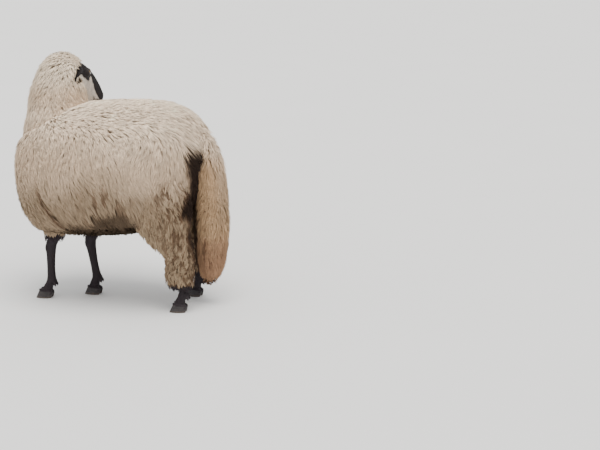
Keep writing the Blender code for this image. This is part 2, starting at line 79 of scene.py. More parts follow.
tailShape = {
    "outline": (  # centre, half width, half depth
        ((-0.225, 0.0, 0.605), 0.040, 0.034),
        ((-0.292, 0.0, 0.575), 0.052, 0.046),
        ((-0.328, 0.0, 0.490), 0.060, 0.054),
        ((-0.338, 0.0, 0.360), 0.064, 0.061),
        ((-0.337, 0.0, 0.235), 0.060, 0.060),
        ((-0.333, 0.0, 0.140), 0.046, 0.046),
        ((-0.330, 0.0, 0.082), 0.018, 0.018),
    ),
    "depth": 0.022,
}
headShape = {
    "turn": 108,  # degrees to the sheep's right
    "tilt": 33,  # muzzle down
    "origin": (0.230, -0.092, 0.800),
    "outline": (  # along, top, bottom, half width
        (-0.022, 0.030, -0.050, 0.034),
        (0.000, 0.047, -0.074, 0.047),
        (0.035, 0.058, -0.092, 0.056),
        (0.075, 0.061, -0.088, 0.055),
        (0.105, 0.061, -0.075, 0.046),
        (0.140, 0.056, -0.063, 0.037),
        (0.172, 0.045, -0.054, 0.033),
        (0.200, 0.029, -0.049, 0.032),
        (0.219, 0.010, -0.043, 0.027),
        (0.228, -0.010, -0.032, 0.016),
    ),
    "hair": 0.0012,  # short coat over the skin
    "sides": 200,
    "rings": 150,
}
legShape = {
    "front": (  # height, forward, sideways, half width, to the front, to the back
        (0.380, -0.020, 0.0, 0.052, 0.066, 0.066),
        (0.300, -0.012, 0.0, 0.048, 0.056, 0.058),
        (0.235, -0.006, 0.0, 0.036, 0.038, 0.042),
        (0.214, -0.004, 0.0, 0.029, 0.031, 0.033),
        (0.203, 0.000, 0.0, 0.0210, 0.0215, 0.0220),
        (0.184, 0.003, 0.0, 0.0200, 0.0205, 0.0195),
        (0.160, 0.001, 0.0, 0.0165, 0.017, 0.017),
        (0.115, -0.003, 0.0, 0.0140, 0.0145, 0.0150),
        (0.078, -0.007, 0.0, 0.0150, 0.0150, 0.0165),
        (0.060, -0.008, 0.0, 0.0185, 0.0175, 0.0205),
        (0.042, 0.001, 0.0, 0.0180, 0.0170, 0.0180),
        (0.024, 0.006, 0.0, 0.0205, 0.0200, 0.0215),
    ),
    "hind": (
        (0.540, 0.085, 0.010, 0.070, 0.090, 0.070),
        (0.460, 0.070, 0.018, 0.082, 0.115, 0.098),
        (0.380, 0.055, 0.018, 0.080, 0.125, 0.100),
        (0.310, 0.038, 0.014, 0.072, 0.120, 0.080),
        (0.262, 0.022, 0.008, 0.060, 0.102, 0.062),
        (0.225, 0.002, 0.003, 0.045, 0.080, 0.046),
        (0.185, -0.012, 0.000, 0.038, 0.070, 0.038),
        (0.130, -0.012, 0.000, 0.036, 0.068, 0.036),
        (0.100, -0.010, 0.000, 0.032, 0.059, 0.034),
        (0.084, -0.009, 0.000, 0.0175, 0.0190, 0.0190),
        (0.060, -0.008, 0.000, 0.0185, 0.0180, 0.0210),
        (0.042, 0.002, 0.000, 0.0180, 0.0170, 0.0180),
        (0.024, 0.007, 0.000, 0.0205, 0.0200, 0.0215),
    ),
    "hair": 0.0012,
    "wool": {  # its depth, and the height from which it grows
        "front": ((0.010, 0.21),),
        "hind": ((0.014, 0.09), (0.022, 0.24)),
    },
    "bare": {"front": 0.226, "hind": 0.088},  # the black shins' tops
    "faces": (56, 110),  # round and along
}
bodyFaces = (96, 96)
woolShade = 0.92  # painted shade on the skin under the wool, so the gaps between locks read as shadowed wool
feet = {  # forward, left, toe turned out in degrees, lean of the leg
    "front_left": (0.260, 0.042, 4, -0.024),
    "front_right": (0.112, -0.046, -3, 0.014),
    "hind_left": (-0.260, 0.108, 6, 0.0),
    "hind_right": (-0.248, -0.106, -6, 0.0),
}
eyeShape = {
    "radius": 0.0145,
    "place": (0.080, 0.0375, 0.028),
    "gaze": (0.30, 0.95, 0.06),
    "tilt": -20,
    "opening": (0.0114, 0.0070, 0.0054),  # half width, up and down from its middle
    "lid": 0.0021,
}
earShape = {"length": 0.108, "width": 0.050, "thickness": 0.0034, "place": (0.020, 0.042, 0.026),
            "turn": {1: (42, -62), -1: (30, -44)}}  # backward and down, left and right
clawShape = {"length": 0.056, "width": 0.0205, "apart": 0.0118, "ahead": 0.012, "splay": 3,
             "slope": 0.010, "height": 0.030, "heel": 0.36, "rings": 8, "ringDepth": 0.00020}
nostril = (0.2225, 0.0150, -0.0015)  # on the head's own axes


# curves and lofts, read at many places at once
def rowsAt(stations, u):
    last = len(stations) - 1
    place = np.clip(u, 0.0, 1.0) * last
    i = np.minimum(place.astype(int), last - 1)
    t = (place - i)[:, None]
    p1, p2 = stations[i], stations[i + 1]
    p0 = np.where(i[:, None] > 0, stations[np.maximum(i - 1, 0)], 2 * p1 - p2)
    p3 = np.where(i[:, None] + 2 <= last, stations[np.minimum(i + 2, last)], 2 * p2 - p1)
    return p1 + 0.5 * t * ((p2 - p0) + t * (2 * p0 - 5 * p1 + 4 * p2 - p3 + t * (3 * (p1 - p2) + p3 - p0)))


def unit(vectors):
    return vectors / np.maximum(np.linalg.norm(vectors, axis=-1, keepdims=True), 1e-12)


def rowDot(a, b):
    return (a * b).sum(-1, keepdims=True)


def turnOf(height, across):  # the angle round an axis, as a share of the full turn
    return np.arctan2(height, across) / (2 * math.pi) % 1.0


def makeForm(name, stations, atlas, depth=0.0, squareness=2.0, axis=None):
    return {"name": name, "stations": np.asarray(stations, float), "atlas": atlas,
            "depth": depth, "squareness": squareness, "axis": axis}


def seatsOn(form, across, along):  # places on the form's own patch of the coat's UV map
    x0, y0, x1, y1 = form["atlas"]
    return np.stack([x0 + (x1 - x0) * across, y0 + (y1 - y0) * along], 1)


def sectionAt(form, u):
    stations = form["stations"]
    row = rowsAt(stations, u)
    if form["axis"] is None:
        along = rowsAt(stations, np.minimum(u + 1e-3, 1.0)) - rowsAt(stations, np.maximum(u - 1e-3, 0.0))
        along = along[:, :3]
    else:
        along = np.tile(np.array(form["axis"], float), (len(u), 1))
    along = unit(along)
    side = row[:, 3:6]
    side = unit(side - rowDot(side, along) * along)
    return row[:, :3], side, np.cross(along, side), row[:, 6:]


def depthAt(form, u):
    depth = form["depth"]
    return np.interp(u, *depth) if isinstance(depth, tuple) else np.full(len(u), depth)


def loftPoint(form, u, angle, inset=None):
    centre, side, up, half = sectionAt(form, u)
    inset = depthAt(form, u) if inset is None else np.full(len(u), inset)
    c, s = np.cos(angle), np.sin(angle)
    power = 2.0 / form["squareness"]
    across = np.copysign(np.abs(c) ** power, c) * np.maximum(half[:, 0] - inset, 0.004)
    tall = np.maximum(np.where(s > 0, half[:, 1], half[:, 2]) - inset, 0.004)
    height = np.copysign(np.abs(s) ** power, s) * tall
    return centre + side * across[:, None] + up * height[:, None]


def loftNormal(form, u, angle):
    around = loftPoint(form, u, angle + 0.02) - loftPoint(form, u, angle - 0.02)
    along = loftPoint(form, np.minimum(u + 0.02, 1.0), angle)
    along = along - loftPoint(form, np.maximum(u - 0.02, 0.0), angle)
    out = unit(np.cross(around, along))
    away = loftPoint(form, u, angle) - sectionAt(form, u)[0]
    return out * np.where(rowDot(out, away) > 0, 1.0, -1.0)


def meshObject(name, vertices, faces):
    mesh = bpy.data.meshes.new(name)
    mesh.from_pydata(vertices, [], faces)
    return bpy.data.objects.new(name, mesh)


def shapeObject(name, shape):
    mesh = bpy.data.meshes.new(name)
    shape.to_mesh(mesh)
    shape.free()
    return bpy.data.objects.new(name, mesh)


def turnOutwards(item):
    shape = bmesh.new()
    shape.from_mesh(item.data)
    shape.normal_update()
    bmesh.ops.recalc_face_normals(shape, faces=shape.faces)
    if shape.calc_volume(signed=True) < 0:
        bmesh.ops.reverse_faces(shape, faces=shape.faces)
    shape.to_mesh(item.data)
    shape.free()
    return item


def ringMesh(name, rings):
    count, sides = len(rings), len(rings[0])
    vertices = np.concatenate(rings)
    faces = []
    for i in range(count - 1):
        for k in range(sides):
            n = (k + 1) % sides
            faces.append((i * sides + k, i * sides + n, (i + 1) * sides + n, (i + 1) * sides + k))
    ends = [vertices[:sides].mean(0), vertices[-sides:].mean(0)]
    vertices = np.vstack([vertices, ends])
    first, last = len(vertices) - 2, len(vertices) - 1
    for k in range(sides):
        n = (k + 1) % sides
        faces.append((first, n, k))
        faces.append((last, (count - 1) * sides + k, (count - 1) * sides + n))
    return turnOutwards(meshObject(name, vertices, faces))


def loftMesh(form, sides, rings):
    angle = np.linspace(0, 2 * math.pi, sides, endpoint=False)
    loops = []
    for u in np.linspace(0, 1, rings + 1):
        loops.append(loftPoint(form, np.full(sides, u), angle))
    return ringMesh(form["name"], loops)


# the head's own axes
def headAxes():
    turn, tilt = math.radians(headShape["turn"]), math.radians(headShape["tilt"])
    forward = Vector((math.cos(turn) * math.cos(tilt), -math.sin(turn) * math.cos(tilt), -math.sin(tilt)))
    up = (Vector((0, 0, 1)) + math.sin(tilt) * forward).normalized()
    return np.array(forward), np.array(up.cross(forward)), np.array(up)


headForward, headLeft, headUp = headAxes()
headOrigin = np.array(headShape["origin"])
headTurn = np.stack([headForward, headLeft, headUp])


def onHead(places):
    return headOrigin + np.asarray(places, float) @ headTurn


def headPlace(points):
    return (points - headOrigin) @ headTurn.T


def headForm():
    stations = []
    for along, top, bottom, width in headShape["outline"]:
        middle = 0.5 * (top + bottom)
        stations.append((*onHead((along, 0, middle)), *headLeft, width, top - middle, middle - bottom))
    depth = ((0.0, 0.05, 0.30, 0.36), (0.006, 0.006, 0.004, headShape["hair"]))
    return makeForm("head", stations, (0.00, 0.66, 0.34, 0.99), depth)


def trunkForm():
    stations = []
    for x, top, bottom, width in trunkShape["outline"]:
        middle = 0.5 * (top + bottom)
        x = trunkShape["middle"] + (x - trunkShape["middle"]) * trunkShape["draw"]
        stations.append((x, 0, middle, 0, 1, 0, width, top - middle, middle - bottom))
    atlas = (0.00, 0.00, 0.56, 0.64)
    return makeForm("trunk", stations, atlas, trunkShape["depth"], trunkShape["squareness"], (1, 0, 0))


def neckForm():
    stations = []
    for centre, turn, width, nape, throat in neckShape["outline"]:
        turn = math.radians(turn)
        stations.append((*centre, math.cos(turn), math.sin(turn), 0, width, nape, throat))
    return makeForm("neck", stations, (0.58, 0.00, 0.82, 0.36), neckShape["depth"])


def tailForm():
    stations = [(*centre, 0, 1, 0, width, depth, depth) for centre, width, depth in tailShape["outline"]]
    return makeForm("tail", stations, (0.84, 0.00, 0.99, 0.60), tailShape["depth"])


def legForm(name):
    forward, left, _, lean = feet[name]
    outward = math.copysign(1, left)
    kind = name.split("_")[0]
    rows = legShape[kind]
    stations = []
    for z, x, y, width, front, back in rows:
        shift = x + lean * min(z / 0.2, 1.3)
        stations.append((forward + shift, left + y * outward, z, 0, 1, 0, width, front, back))
    heights = np.array([row[0] for row in rows])
    wool = np.full(len(rows), legShape["hair"])
    for depth, start in legShape["wool"][kind]:
        wool = np.where(heights > start, depth, wool)
    corner = {"front_left": 0.36, "front_right": 0.52, "hind_left": 0.68, "hind_right": 0.84}[name]
    depth = (np.linspace(0, 1, len(rows)), wool)
    return makeForm(f"leg_{name}", stations, (corner, 0.66, corner + 0.14, 0.99), depth, axis=(0, 0, -1))


# smooth repeatable noise, from 0 to 1
def noiseAt(points, size, seed=0):
    p = points / size + 31.7 * seed
    cell = np.floor(p).astype(np.int64)
    f = p - cell
    f = f * f * (3 - 2 * f)
    total = np.zeros(len(p))
    for dx in (0, 1):
        for dy in (0, 1):
            for dz in (0, 1):
                h = (cell + (dx, dy, dz)) @ np.array((374761393, 668265263, 1274126177))
                h = (h ^ (h >> 13)) * 1103515245 & 0x7FFFFFFF
                h = (h ^ (h >> 16)) & 0xFFFF
                weight = np.abs(1 - dx - f[:, 0]) * np.abs(1 - dy - f[:, 1]) * np.abs(1 - dz - f[:, 2])
                total += weight * h / 65535.0
    return total


def ramp(value, low, high):
    t = np.clip((value - low) / (high - low), 0.0, 1.0)
    return t * t * (3 - 2 * t)


def linear(*colour):
    c = np.array(colour) / 255.0
    return np.where(c <= 0.04045, c / 12.92, ((c + 0.055) / 1.055) ** 2.4)


coatColours = {  # as the eye sees them, 0 to 255
    "fleece": linear(250, 228, 202),
    "fleeceGrey": linear(216, 190, 162),
    # the low flank's wool, darkened partly as painted shade
    "fleeceLow": linear(152, 131, 107),
    # painted shadow on the underside of the belly
    "belly": linear(84, 69, 54),
    "poll": linear(246, 227, 202),
    "faceWhite": linear(214, 206, 196),
    "black": linear(38, 33, 34),
    "legBlack": linear(46, 39, 43),
    "stain": linear(194, 160, 124),
    "stainLow": linear(164, 128, 100),
    "dirty": linear(160, 138, 112),
    # clumped, stained wool, and painted shade in creases and gaps
    "clot": linear(84, 60, 42),
    # painted shadow, in the cleft by the tail
    "grooveShadow": linear(31, 18, 11),
}


def mixed(base, colour, amount):
    return base + (np.asarray(colour) - base) * np.clip(amount, 0, 1)[:, None]


def onEar(points, reach):  # within reach of either ear's cup
    found = np.zeros(len(points), bool)
    for side in (1, -1):
        turn = np.array(earMatrix(side))
        x, y, z = ((points - turn[:3, 3]) @ turn[:3, :3]).T
        t = np.clip(y / earShape["length"], 0, 1)
        roll = np.radians(115 - 75 * t)
        bent = 0.5 * earShape["width"] * (0.42 + 1.25 * t) * np.sqrt(np.maximum(1 - t**2.4, 0.012)) / roll
        z = z - bent + 0.012 * t * t
        inCup = (np.abs(np.hypot(x, z) - bent) < reach) & (np.abs(np.arctan2(x, -z)) < roll + 0.3)
        found |= inCup & (y > 0.004) & (y < earShape["length"] + reach)
    return found


def fromEarRoot(points):
    a, s, h = headPlace(points).T
    root = earShape["place"]
    return np.sqrt((a - root[0]) ** 2 + (np.abs(s) - root[1]) ** 2 + (h - root[2]) ** 2)


def foldOf(points):  # the crease from the shoulder down behind the breast, on both sides; painted in as shade and thinned in the wool
    x, y, z = points.T
    middle = np.interp(z, (0.24, 0.298, 0.354, 0.41, 0.46, 0.52), (0.112, 0.142, 0.182, 0.206, 0.220, 0.230))
    width = np.interp(z, (0.24, 0.35, 0.54), (0.015, 0.012, 0.008))
    return np.exp(-(((x - middle) / width) ** 2)) * ramp(0.50 - z, 0.0, 0.14) * ramp(np.abs(y), 0.05, 0.09)


def fringeOf(points):  # gaps between the locks that hang over the underside: painted shadow, and thinner wool
    x, y, z = points.T
    zone = np.exp(-(((x + 0.045) / 0.085) ** 2)) * ramp(0.435 - z, -0.01, 0.045) * ramp(np.abs(y), 0.06, 0.11)
    return zone * ramp(noiseAt(points * (1, 1, 0.2), 0.015, 17), 0.50, 0.66)


def onPoll(points):  # the crown and forehead, down to the cheeks behind the eyes
    a, s, h = headPlace(points).T
    edge = 0.044 + 0.010 * (noiseAt(points, 0.014, 15) - 0.5)
    edge = edge - 1.3 * np.maximum(np.abs(s) - 0.020, 0) - 0.30 * np.maximum(0.03 - h, 0)
    return (a < edge) & ~onEar(points, 0.008) & (fromEarRoot(points) > 0.026)


def blackOnHead(points):  # where the face's hair is black: ears, round the eyes and over the nose
    place = headPlace(points)
    a, s, h = place[:, 0], np.abs(place[:, 1]), place[:, 2]
    wave = noiseAt(points, 0.018, 3) - 0.5
    ear, eye = np.array((0.022, 0.030)), np.array(eyeShape["place"])[[0, 2]] - (0.002, 0.002)
    da, dh = eye - ear
    t = np.clip(((a - ear[0]) * da + (h - ear[1]) * dh) / (da * da + dh * dh), 0, 1)
    away = np.hypot(a - ear[0] - t * da, h - ear[1] - t * dh)
    patch = ramp(0.031 + 0.012 * wave - away, -0.003, 0.003) * ramp(s, 0.018, 0.028)
    wide = np.interp(a, (0.060, 0.085, 0.120, 0.180, 0.220), (0.018, 0.026, 0.030, 0.027, 0.032))
    fall = 0.05 * ramp(a, 0.10, 0.20)
    start = ramp(a, 0.066, 0.082)
    band = ramp(wide + 0.008 * wave - s, -0.003, 0.003) * start * ramp(h, 0.004 - fall, 0.014 - fall)
    high = np.interp(a, (0.075, 0.10, 0.13, 0.16, 0.19, 0.21), (0.050, 0.031, 0.012, -0.003, -0.016, -0.022))
    band = np.maximum(band, ramp(h - high + 0.010 * wave, -0.003, 0.003) * start)
    nose = ramp(a + 0.010 * wave, 0.192, 0.202) * ramp(h + 0.006 * wave, -0.020, -0.012)
    lips = ramp(0.0045 + 0.004 * wave - np.abs(h + 0.027), -0.002, 0.002) * ramp(a, 0.180, 0.196)
    chin = ramp(0.016 + 0.010 * wave - np.hypot(a - 0.190, h + 0.044), -0.003, 0.003)
    return np.clip(np.maximum.reduce([patch, band, nose, lips, 0.85 * chin]), 0, 1)


def tintAt(points, part):  # the coat's colour, for skin and wool alike
    x, y, z = points.T
    wide, fine = noiseAt(points, 0.16, 1), noiseAt(points, 0.045, 2)
    streak = noiseAt(points * (1.0, 1.0, 0.22), 0.013, 5)
    uneven, ragged = wide - 0.5, fine - 0.5
    plain = lambda name: np.tile(coatColours[name], (len(points), 1))
    leg = part.startswith("leg_hind")

    def dye(name, amount):
        nonlocal colour
        colour = mixed(colour, coatColours[name], amount)

    colour = plain("fleece")
    # greyer and darker towards the bottom of the body: partly the wool's own tone, partly painted shade of
    # the light from above
    dye("fleeceGrey", 0.95 * ramp(0.62 - z + 0.10 * uneven, -0.06, 0.16))
    lowest = 0.42 + 0.045 * np.exp(-(((x + 0.03) / 0.11) ** 2))
    dye("fleeceLow", 0.88 * ramp(lowest - z + 0.06 * ragged, -0.06, 0.11))
    if part == "neck":
        dye("poll", ramp(z + 0.05 * uneven, 0.68, 0.76))
        nape = np.exp(-(((z - 0.705) / 0.045) ** 2))
        dye("fleeceGrey", 0.8 * nape * ramp(y + 0.06 * ragged, -0.03, 0.05))
        dye("black", ramp(0.027 - fromEarRoot(points), -0.002, 0.004))
    elif part == "head":
        colour = plain("faceWhite")
        dye("black", blackOnHead(points) * (1 - onPoll(points) * (headPlace(points)[:, 0] < 0.040)))
    elif part == "ear":
        colour = plain("black") * (0.85 + 0.3 * fine[:, None])
    elif part == "poll":
        colour = plain("poll")
        dye("fleeceGrey", 0.4 * ramp(fine, 0.4, 0.8))
    elif part == "tail":
        outer = ramp(-x - 0.25 * y, 0.345, 0.385) * ramp(z, 0.22, 0.34)
        dye("stain", ramp(0.49 - z + 0.10 * ragged, -0.05, 0.07) * (1 - 0.55 * outer))
        dye("stainLow", ramp(0.24 - z + 0.08 * ragged, -0.05, 0.10))
        speckle = noiseAt(points * (1, 1, 0.6), 0.012, 9)
        dye("clot", 0.65 * ramp(speckle, 0.74, 0.84) * ramp(0.46 - z, 0.0, 0.1))
        # painted shadow on the tail's front, which faces the thigh
        dye("grooveShadow", 0.9 * ramp(x, -0.305, -0.292) * ramp(0.50 - z, -0.02, 0.05))
    elif part == "trunk":
        # painted shadow on the belly's underside, fading out towards the chest
        under = 0.292 + 0.046 * np.exp(-(((x + 0.055) / 0.065) ** 2))
        # painted shade in the crease behind the shoulder and in the gaps of the fringe under the body
        dye("clot", 0.90 * foldOf(points) ** 2 + 0.80 * fringeOf(points))
        dye("belly", 0.95 * ramp(under - z + 0.04 * ragged, -0.014, 0.016) * (1 - ramp(x, 0.09, 0.14)))
    elif leg:
        behind = ramp(-0.200 - x + 0.05 * ragged, -0.02, 0.05) * ramp(0.47 - z, -0.05, 0.08)
        dye("dirty", 0.75 * ramp(0.42 - z, -0.06, 0.10))
        dye("clot", 0.80 * behind * ramp(noiseAt(points * (1, 1, 0.8), 0.0085, 7), 0.52, 0.64))
        dye("clot", 0.60 * ramp(noiseAt(points, 0.009, 8), 0.62, 0.74) * ramp(0.44 - z, -0.03, 0.08))
    if leg or part == "trunk":  # the cleft between the thigh and the tail: a brown stain at its edge, and painted shadow deeper in
        edge = np.interp(z, (0.10, 0.20, 0.26, 0.30, 0.36, 0.42, 0.50, 0.55),
                         (0.284, 0.278, 0.272, 0.266, 0.254, 0.262, 0.274, 0.280))
        inside = -x - 0.25 * np.abs(y) - edge + 0.022 * ragged + 0.012 * (streak - 0.5)
        reach = ramp(0.55 - z, -0.01, 0.04) * ramp(z, 0.09, 0.11)
        dye("clot", 0.80 * ramp(inside, -0.014, 0.004) * reach)
        dye("grooveShadow", 0.95 * ramp(inside, -0.004, 0.010) * reach)
    if part.startswith("leg"):
        edge = legShape["bare"][part.split("_")[1]] + 0.010 * (noiseAt(points, 0.012, 6) - 0.5)
        dye("legBlack", ramp(edge - z, -0.002, 0.003))
    return np.clip(colour * (0.90 + 0.20 * streak[:, None]) * (0.94 + 0.12 * fine[:, None]), 0, 1)


def swell(place, centre, radius):  # a soft bump's weight round a point
    return np.exp(-(((place - np.asarray(centre)) / radius) ** 2).sum(1))


def mouthAt(along):  # the height of the line between the lips
    return -0.0245 - 0.004 * np.clip((0.238 - along) / 0.058, 0, 1)


faceBumps = (  # how far out, and the middle and reach on the head's own axes
    (0.0035, (0.045, 0.050, -0.034), (0.034, 0.030, 0.034)),  # cheek
    (0.0034, (0.075, 0.043, 0.047), (0.024, 0.014, 0.011)),  # brow
    (0.0020, (0.102, 0.042, 0.007), (0.020, 0.020, 0.009)),  # cheekbone
    (-0.0028, (0.109, 0.040, 0.015), (0.012, 0.020, 0.006)),  # tear pit
    (-0.0026, (0.150, 0.036, -0.006), (0.030, 0.016, 0.018)),  # side of the nose
    (0.0016, (0.150, 0.0, 0.056), (0.060, 0.014, 0.020)),  # nose bridge
    (-0.0030, (0.100, 0.030, -0.085), (0.060, 0.018, 0.016)),  # under the jaw
    (0.0028, (0.212, 0.022, 0.004), (0.012, 0.012, 0.011)),  # nostril wing
    (0.0022, (0.205, 0.0, -0.044), (0.014, 0.018, 0.010)),  # chin
)


def shapeHead(points, normals):  # cheeks, brow, lids, nostrils, lips and chin on the plain loft
    place = headPlace(points)
    side = np.sign(place[:, 1]) + (place[:, 1] == 0)
    place[:, 1] = np.abs(place[:, 1])
    out = (headTurn @ normals.T).T
    out[:, 1] *= side
    a, s, h = place.T
    push = sum(height * swell(place, middle, reach) for height, middle, reach in faceBumps)
    inMouth = ramp(a, 0.174, 0.184)
    lip = h - mouthAt(a)
    push += 0.0013 * inMouth * np.exp(-(((lip - 0.0060) / 0.0040) ** 2))
    push += 0.0011 * inMouth * np.exp(-(((lip + 0.0058) / 0.0038) ** 2))
    push -= 0.0042 * inMouth * np.exp(-((lip / 0.0013) ** 2))
    split = ramp(a, 0.214, 0.220) * ramp(h, -0.022, -0.016) * (1 - ramp(h, 0.000, 0.006))
    push -= 0.0016 * split * np.exp(-((s / 0.0014) ** 2))
    _, sideways, rise = (place - np.array(nostril)).T
    turn = math.radians(50)
    along = sideways * math.cos(turn) + rise * math.sin(turn)
    across = rise * math.cos(turn) - sideways * math.sin(turn)
    curl = across - 28.0 * along * along + 0.0012
    hole = np.exp(-((along / 0.0072) ** 4)) * ramp(a, 0.200, 0.208)
    push += 0.0014 * hole * np.exp(-(((curl - 0.0042) / 0.0022) ** 2))
    push -= 0.0065 * hole * np.exp(-((curl / 0.0018) ** 2))
    place = place + out * push[:, None]

    # lids: a shell over the eyeball, pushed along its gaze, that blends into the face round it
    radius = eyeShape["radius"]
    gaze, tilt = unit(np.array(eyeShape["gaze"])), math.radians(eyeShape["tilt"])
    ahead = unit(np.array((1.0, 0.0, 0.0)) - gaze[0] * gaze)
    above = np.cross(ahead, gaze)
    above = above * np.sign(above[2])
    away = place - np.array(eyeShape["place"])
    px, py, high = away @ ahead, away @ above, away @ gaze
    x = px * math.cos(tilt) + py * math.sin(tilt)
    y = -px * math.sin(tilt) + py * math.cos(tilt) - 0.0004
    width, upper, lower = eyeShape["opening"]
    q = np.hypot(x / width, y / np.where(y > 0, upper, lower)) - 1.0
    d = np.hypot(px, py)
    rim = radius + eyeShape["lid"] * ramp(q, -0.06, 0.12) - 0.0032 * (1 - ramp(q, -0.16, 0.0))
    rim = rim - 0.0009 * np.exp(-(((q - 1.15) / 0.16) ** 2)) * (y > 0)  # the fold over the lid
    shell = np.sqrt(rim**2 - np.minimum(d, 0.0125) ** 2) - 0.80 * np.maximum(d - 0.0125, 0)
    hold = (1 - ramp(d, 0.0130, 0.0225)) * (high > -0.004)
    place = place + gaze * ((shell - high) * hold)[:, None]
    place[:, 1] *= side
    return onHead(place)


def subdivideNear(item, centres, radius):
    shape = bmesh.new()
    shape.from_mesh(item.data)
    chosen = set()
    for face in shape.faces:
        middle = face.calc_center_median()
        if len(face.verts) == 4 and any((middle - centre).length < radius for centre in centres):
            chosen.update(face.edges)
    bmesh.ops.subdivide_edges(shape, edges=list(chosen), cuts=2, use_grid_fill=True, smooth=0.0)
    shape.to_mesh(item.data)
    shape.free()


def headSkin(form):
    item = loftMesh(form, headShape["sides"], headShape["rings"])
    centres = [Vector(onHead((0.082, 0.050 * side, 0.028))) for side in (1, -1)]
    centres += [Vector(onHead((0.224, 0.014 * side, -0.002))) for side in (1, -1)]
    subdivideNear(item, centres[:2], 0.026)
    subdivideNear(item, centres[2:], 0.014)
    mesh = item.data
    points = np.array([vertex.co for vertex in mesh.vertices])
    normals = np.array([vertex.normal for vertex in mesh.vertices])
    mesh.vertices.foreach_set("co", shapeHead(points, normals).astype(np.float32).ravel())
    mesh.update()
    return item


def earMatrix(side):
    along, sideways, height = earShape["place"]
    axes = Matrix((headForward, headLeft * side, headUp)).transposed().to_4x4()
    backward = Matrix.Rotation(math.radians(earShape["turn"][side][0]), 4, "Z")
    droop = Matrix.Rotation(math.radians(earShape["turn"][side][1]), 4, "X")
    cupForward = Matrix.Rotation(math.radians(92), 4, "Y")
    return Matrix.Translation(onHead((along, sideways * side, height))) @ axes @ backward @ droop @ cupForward


def earSkin(side):  # a leaf-shaped cup rolled at its root, thick at its base and thin at its rim
    turn = np.array(earMatrix(side))
    rings = []
    for t in np.concatenate([np.linspace(-0.12, 0.90, 36), [0.94, 0.965, 0.985, 0.996]]):
        grown = max(t, 0.0)
        half = 0.5 * earShape["width"] * (0.42 + 1.25 * grown) * math.sqrt(max(1 - grown**2.4, 0.012))
        roll = math.radians(115 - 75 * grown)
        bent = half / roll
        v = np.sin(np.linspace(-0.5, 0.5, 25) * math.pi)
        wall = 0.5 * earShape["thickness"] * np.sqrt(np.clip(1 - v**4, 0.02, 1)) * (1.15 - 0.45 * grown)
        loop = []
        for sign, values, walls in ((1, v, wall), (-1, v[::-1][1:-1], wall[::-1][1:-1])):
            across, cup = bent * np.sin(roll * values), bent * (1 - np.cos(roll * values))
            across = across - sign * walls * np.sin(roll * values)
            cup = cup + sign * walls * np.cos(roll * values)
            cup = cup - 0.012 * t * abs(t)
            ripple = 0.0006 * np.sin(23 * values + 9 * t) * grown
            loop.append(np.stack([across, np.full(len(values), t * earShape["length"]), cup + ripple], 1))
        loop = np.concatenate(loop)
        rings.append(loop @ turn[:3, :3].T + turn[:3, 3])
    return ringMesh("ear", rings)


def ellipsoidMesh(name, place, radii):
    shape = bmesh.new()
    bmesh.ops.create_uvsphere(shape, u_segments=24, v_segments=16, radius=1.0)
    bmesh.ops.transform(shape, verts=shape.verts, matrix=place @ Matrix.Diagonal((*radii, 1.0)))
    return shapeObject(name, shape)


def legSkin(form, name):
    item = loftMesh(form, *legShape["faces"])
    mesh = item.data
    points = np.array([vertex.co for vertex in mesh.vertices])
    forward, left = feet[name][:2]
    x, y, z = points.T
    sideways = y - left
    low = 1 - ramp(z, 0.036, 0.050)
    pinch = 0.0045 * np.exp(-((sideways / 0.0028) ** 2)) * low  # between the two toes
    points[:, 0] -= pinch * np.sign(x - forward - 0.006)
    if name.startswith("front"):  # tendons behind the cannon bone and the knee's flat front
        cannon = ramp(z, 0.070, 0.085) * (1 - ramp(z, 0.150, 0.170))
        inner = np.abs(np.abs(sideways) - 0.0125) < 0.006
        behind = 1 - ramp(np.abs(x - forward), 0.001, 0.010)
        points[:, 1] -= np.sign(sideways) * 0.0016 * cannon * inner * behind
    mesh.vertices.foreach_set("co", points.astype(np.float32).ravel())
    mesh.update()
    return item


def joinedSkin(pieces):  # one closed surface of all the lofts
    base, others = pieces[0], pieces[1:]
    group = bpy.data.collections.new("skinPieces")
    bpy.context.scene.collection.children.link(group)
    for item in others:
        group.objects.link(item)
    bpy.context.scene.collection.objects.link(base)
    join = base.modifiers.new("join", "BOOLEAN")
    join.operation, join.operand_type, join.collection, join.solver = "UNION", "COLLECTION", group, "MANIFOLD"
    graph = bpy.context.evaluated_depsgraph_get()
    mesh = bpy.data.meshes.new_from_object(base.evaluated_get(graph))
    for item in pieces:
        bpy.data.objects.remove(item)
    bpy.data.collections.remove(group)
    return mesh


forms = [trunkForm(), neckForm(), tailForm(), *[legForm(name) for name in feet], headForm()]
eyeMiddles = [onHead(np.array(eyeShape["place"]) * (1, side, 1)) for side in (1, -1)]
eyeBoxes = [np.array(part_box(name)) for name in ("eye_left", "eye_right")]
shift = Vector(np.mean([box.mean(0) - middle for box, middle in zip(eyeBoxes, eyeMiddles)], axis=0))
shift.z = 0.0  # from the outlines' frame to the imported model's


def dewclaws(name):
    forward, left, _, lean = feet[name]
    return [Vector((forward - 0.0250 + 0.28 * lean, left + side * 0.0095, 0.053)) for side in (1, -1)]


def toePlace(name, side):
    forward, left, turn, _ = feet[name]
    ankle = Matrix.Translation((forward + clawShape["ahead"], left, 0))
    ankle = ankle @ Matrix.Rotation(math.radians(turn), 4, "Z")
    splay = Matrix.Rotation(math.radians(clawShape["splay"] * side), 4, "Z")
    return ankle @ Matrix.Translation((0, side * clawShape["apart"], 0)) @ splay


def titleOf(name):
    return "".join(word.title() for word in name.split("_"))


toePads = (  # name, place on the toe, lean, radii
    ("heelBulb", (-0.0205, 0, 0.0175), 0.0, (0.0115, 0.0072, 0.0120)),
    ("coronet", (-0.0085, 0, 0.0265), -0.20, (0.0245, 0.0094, 0.0068)),
)


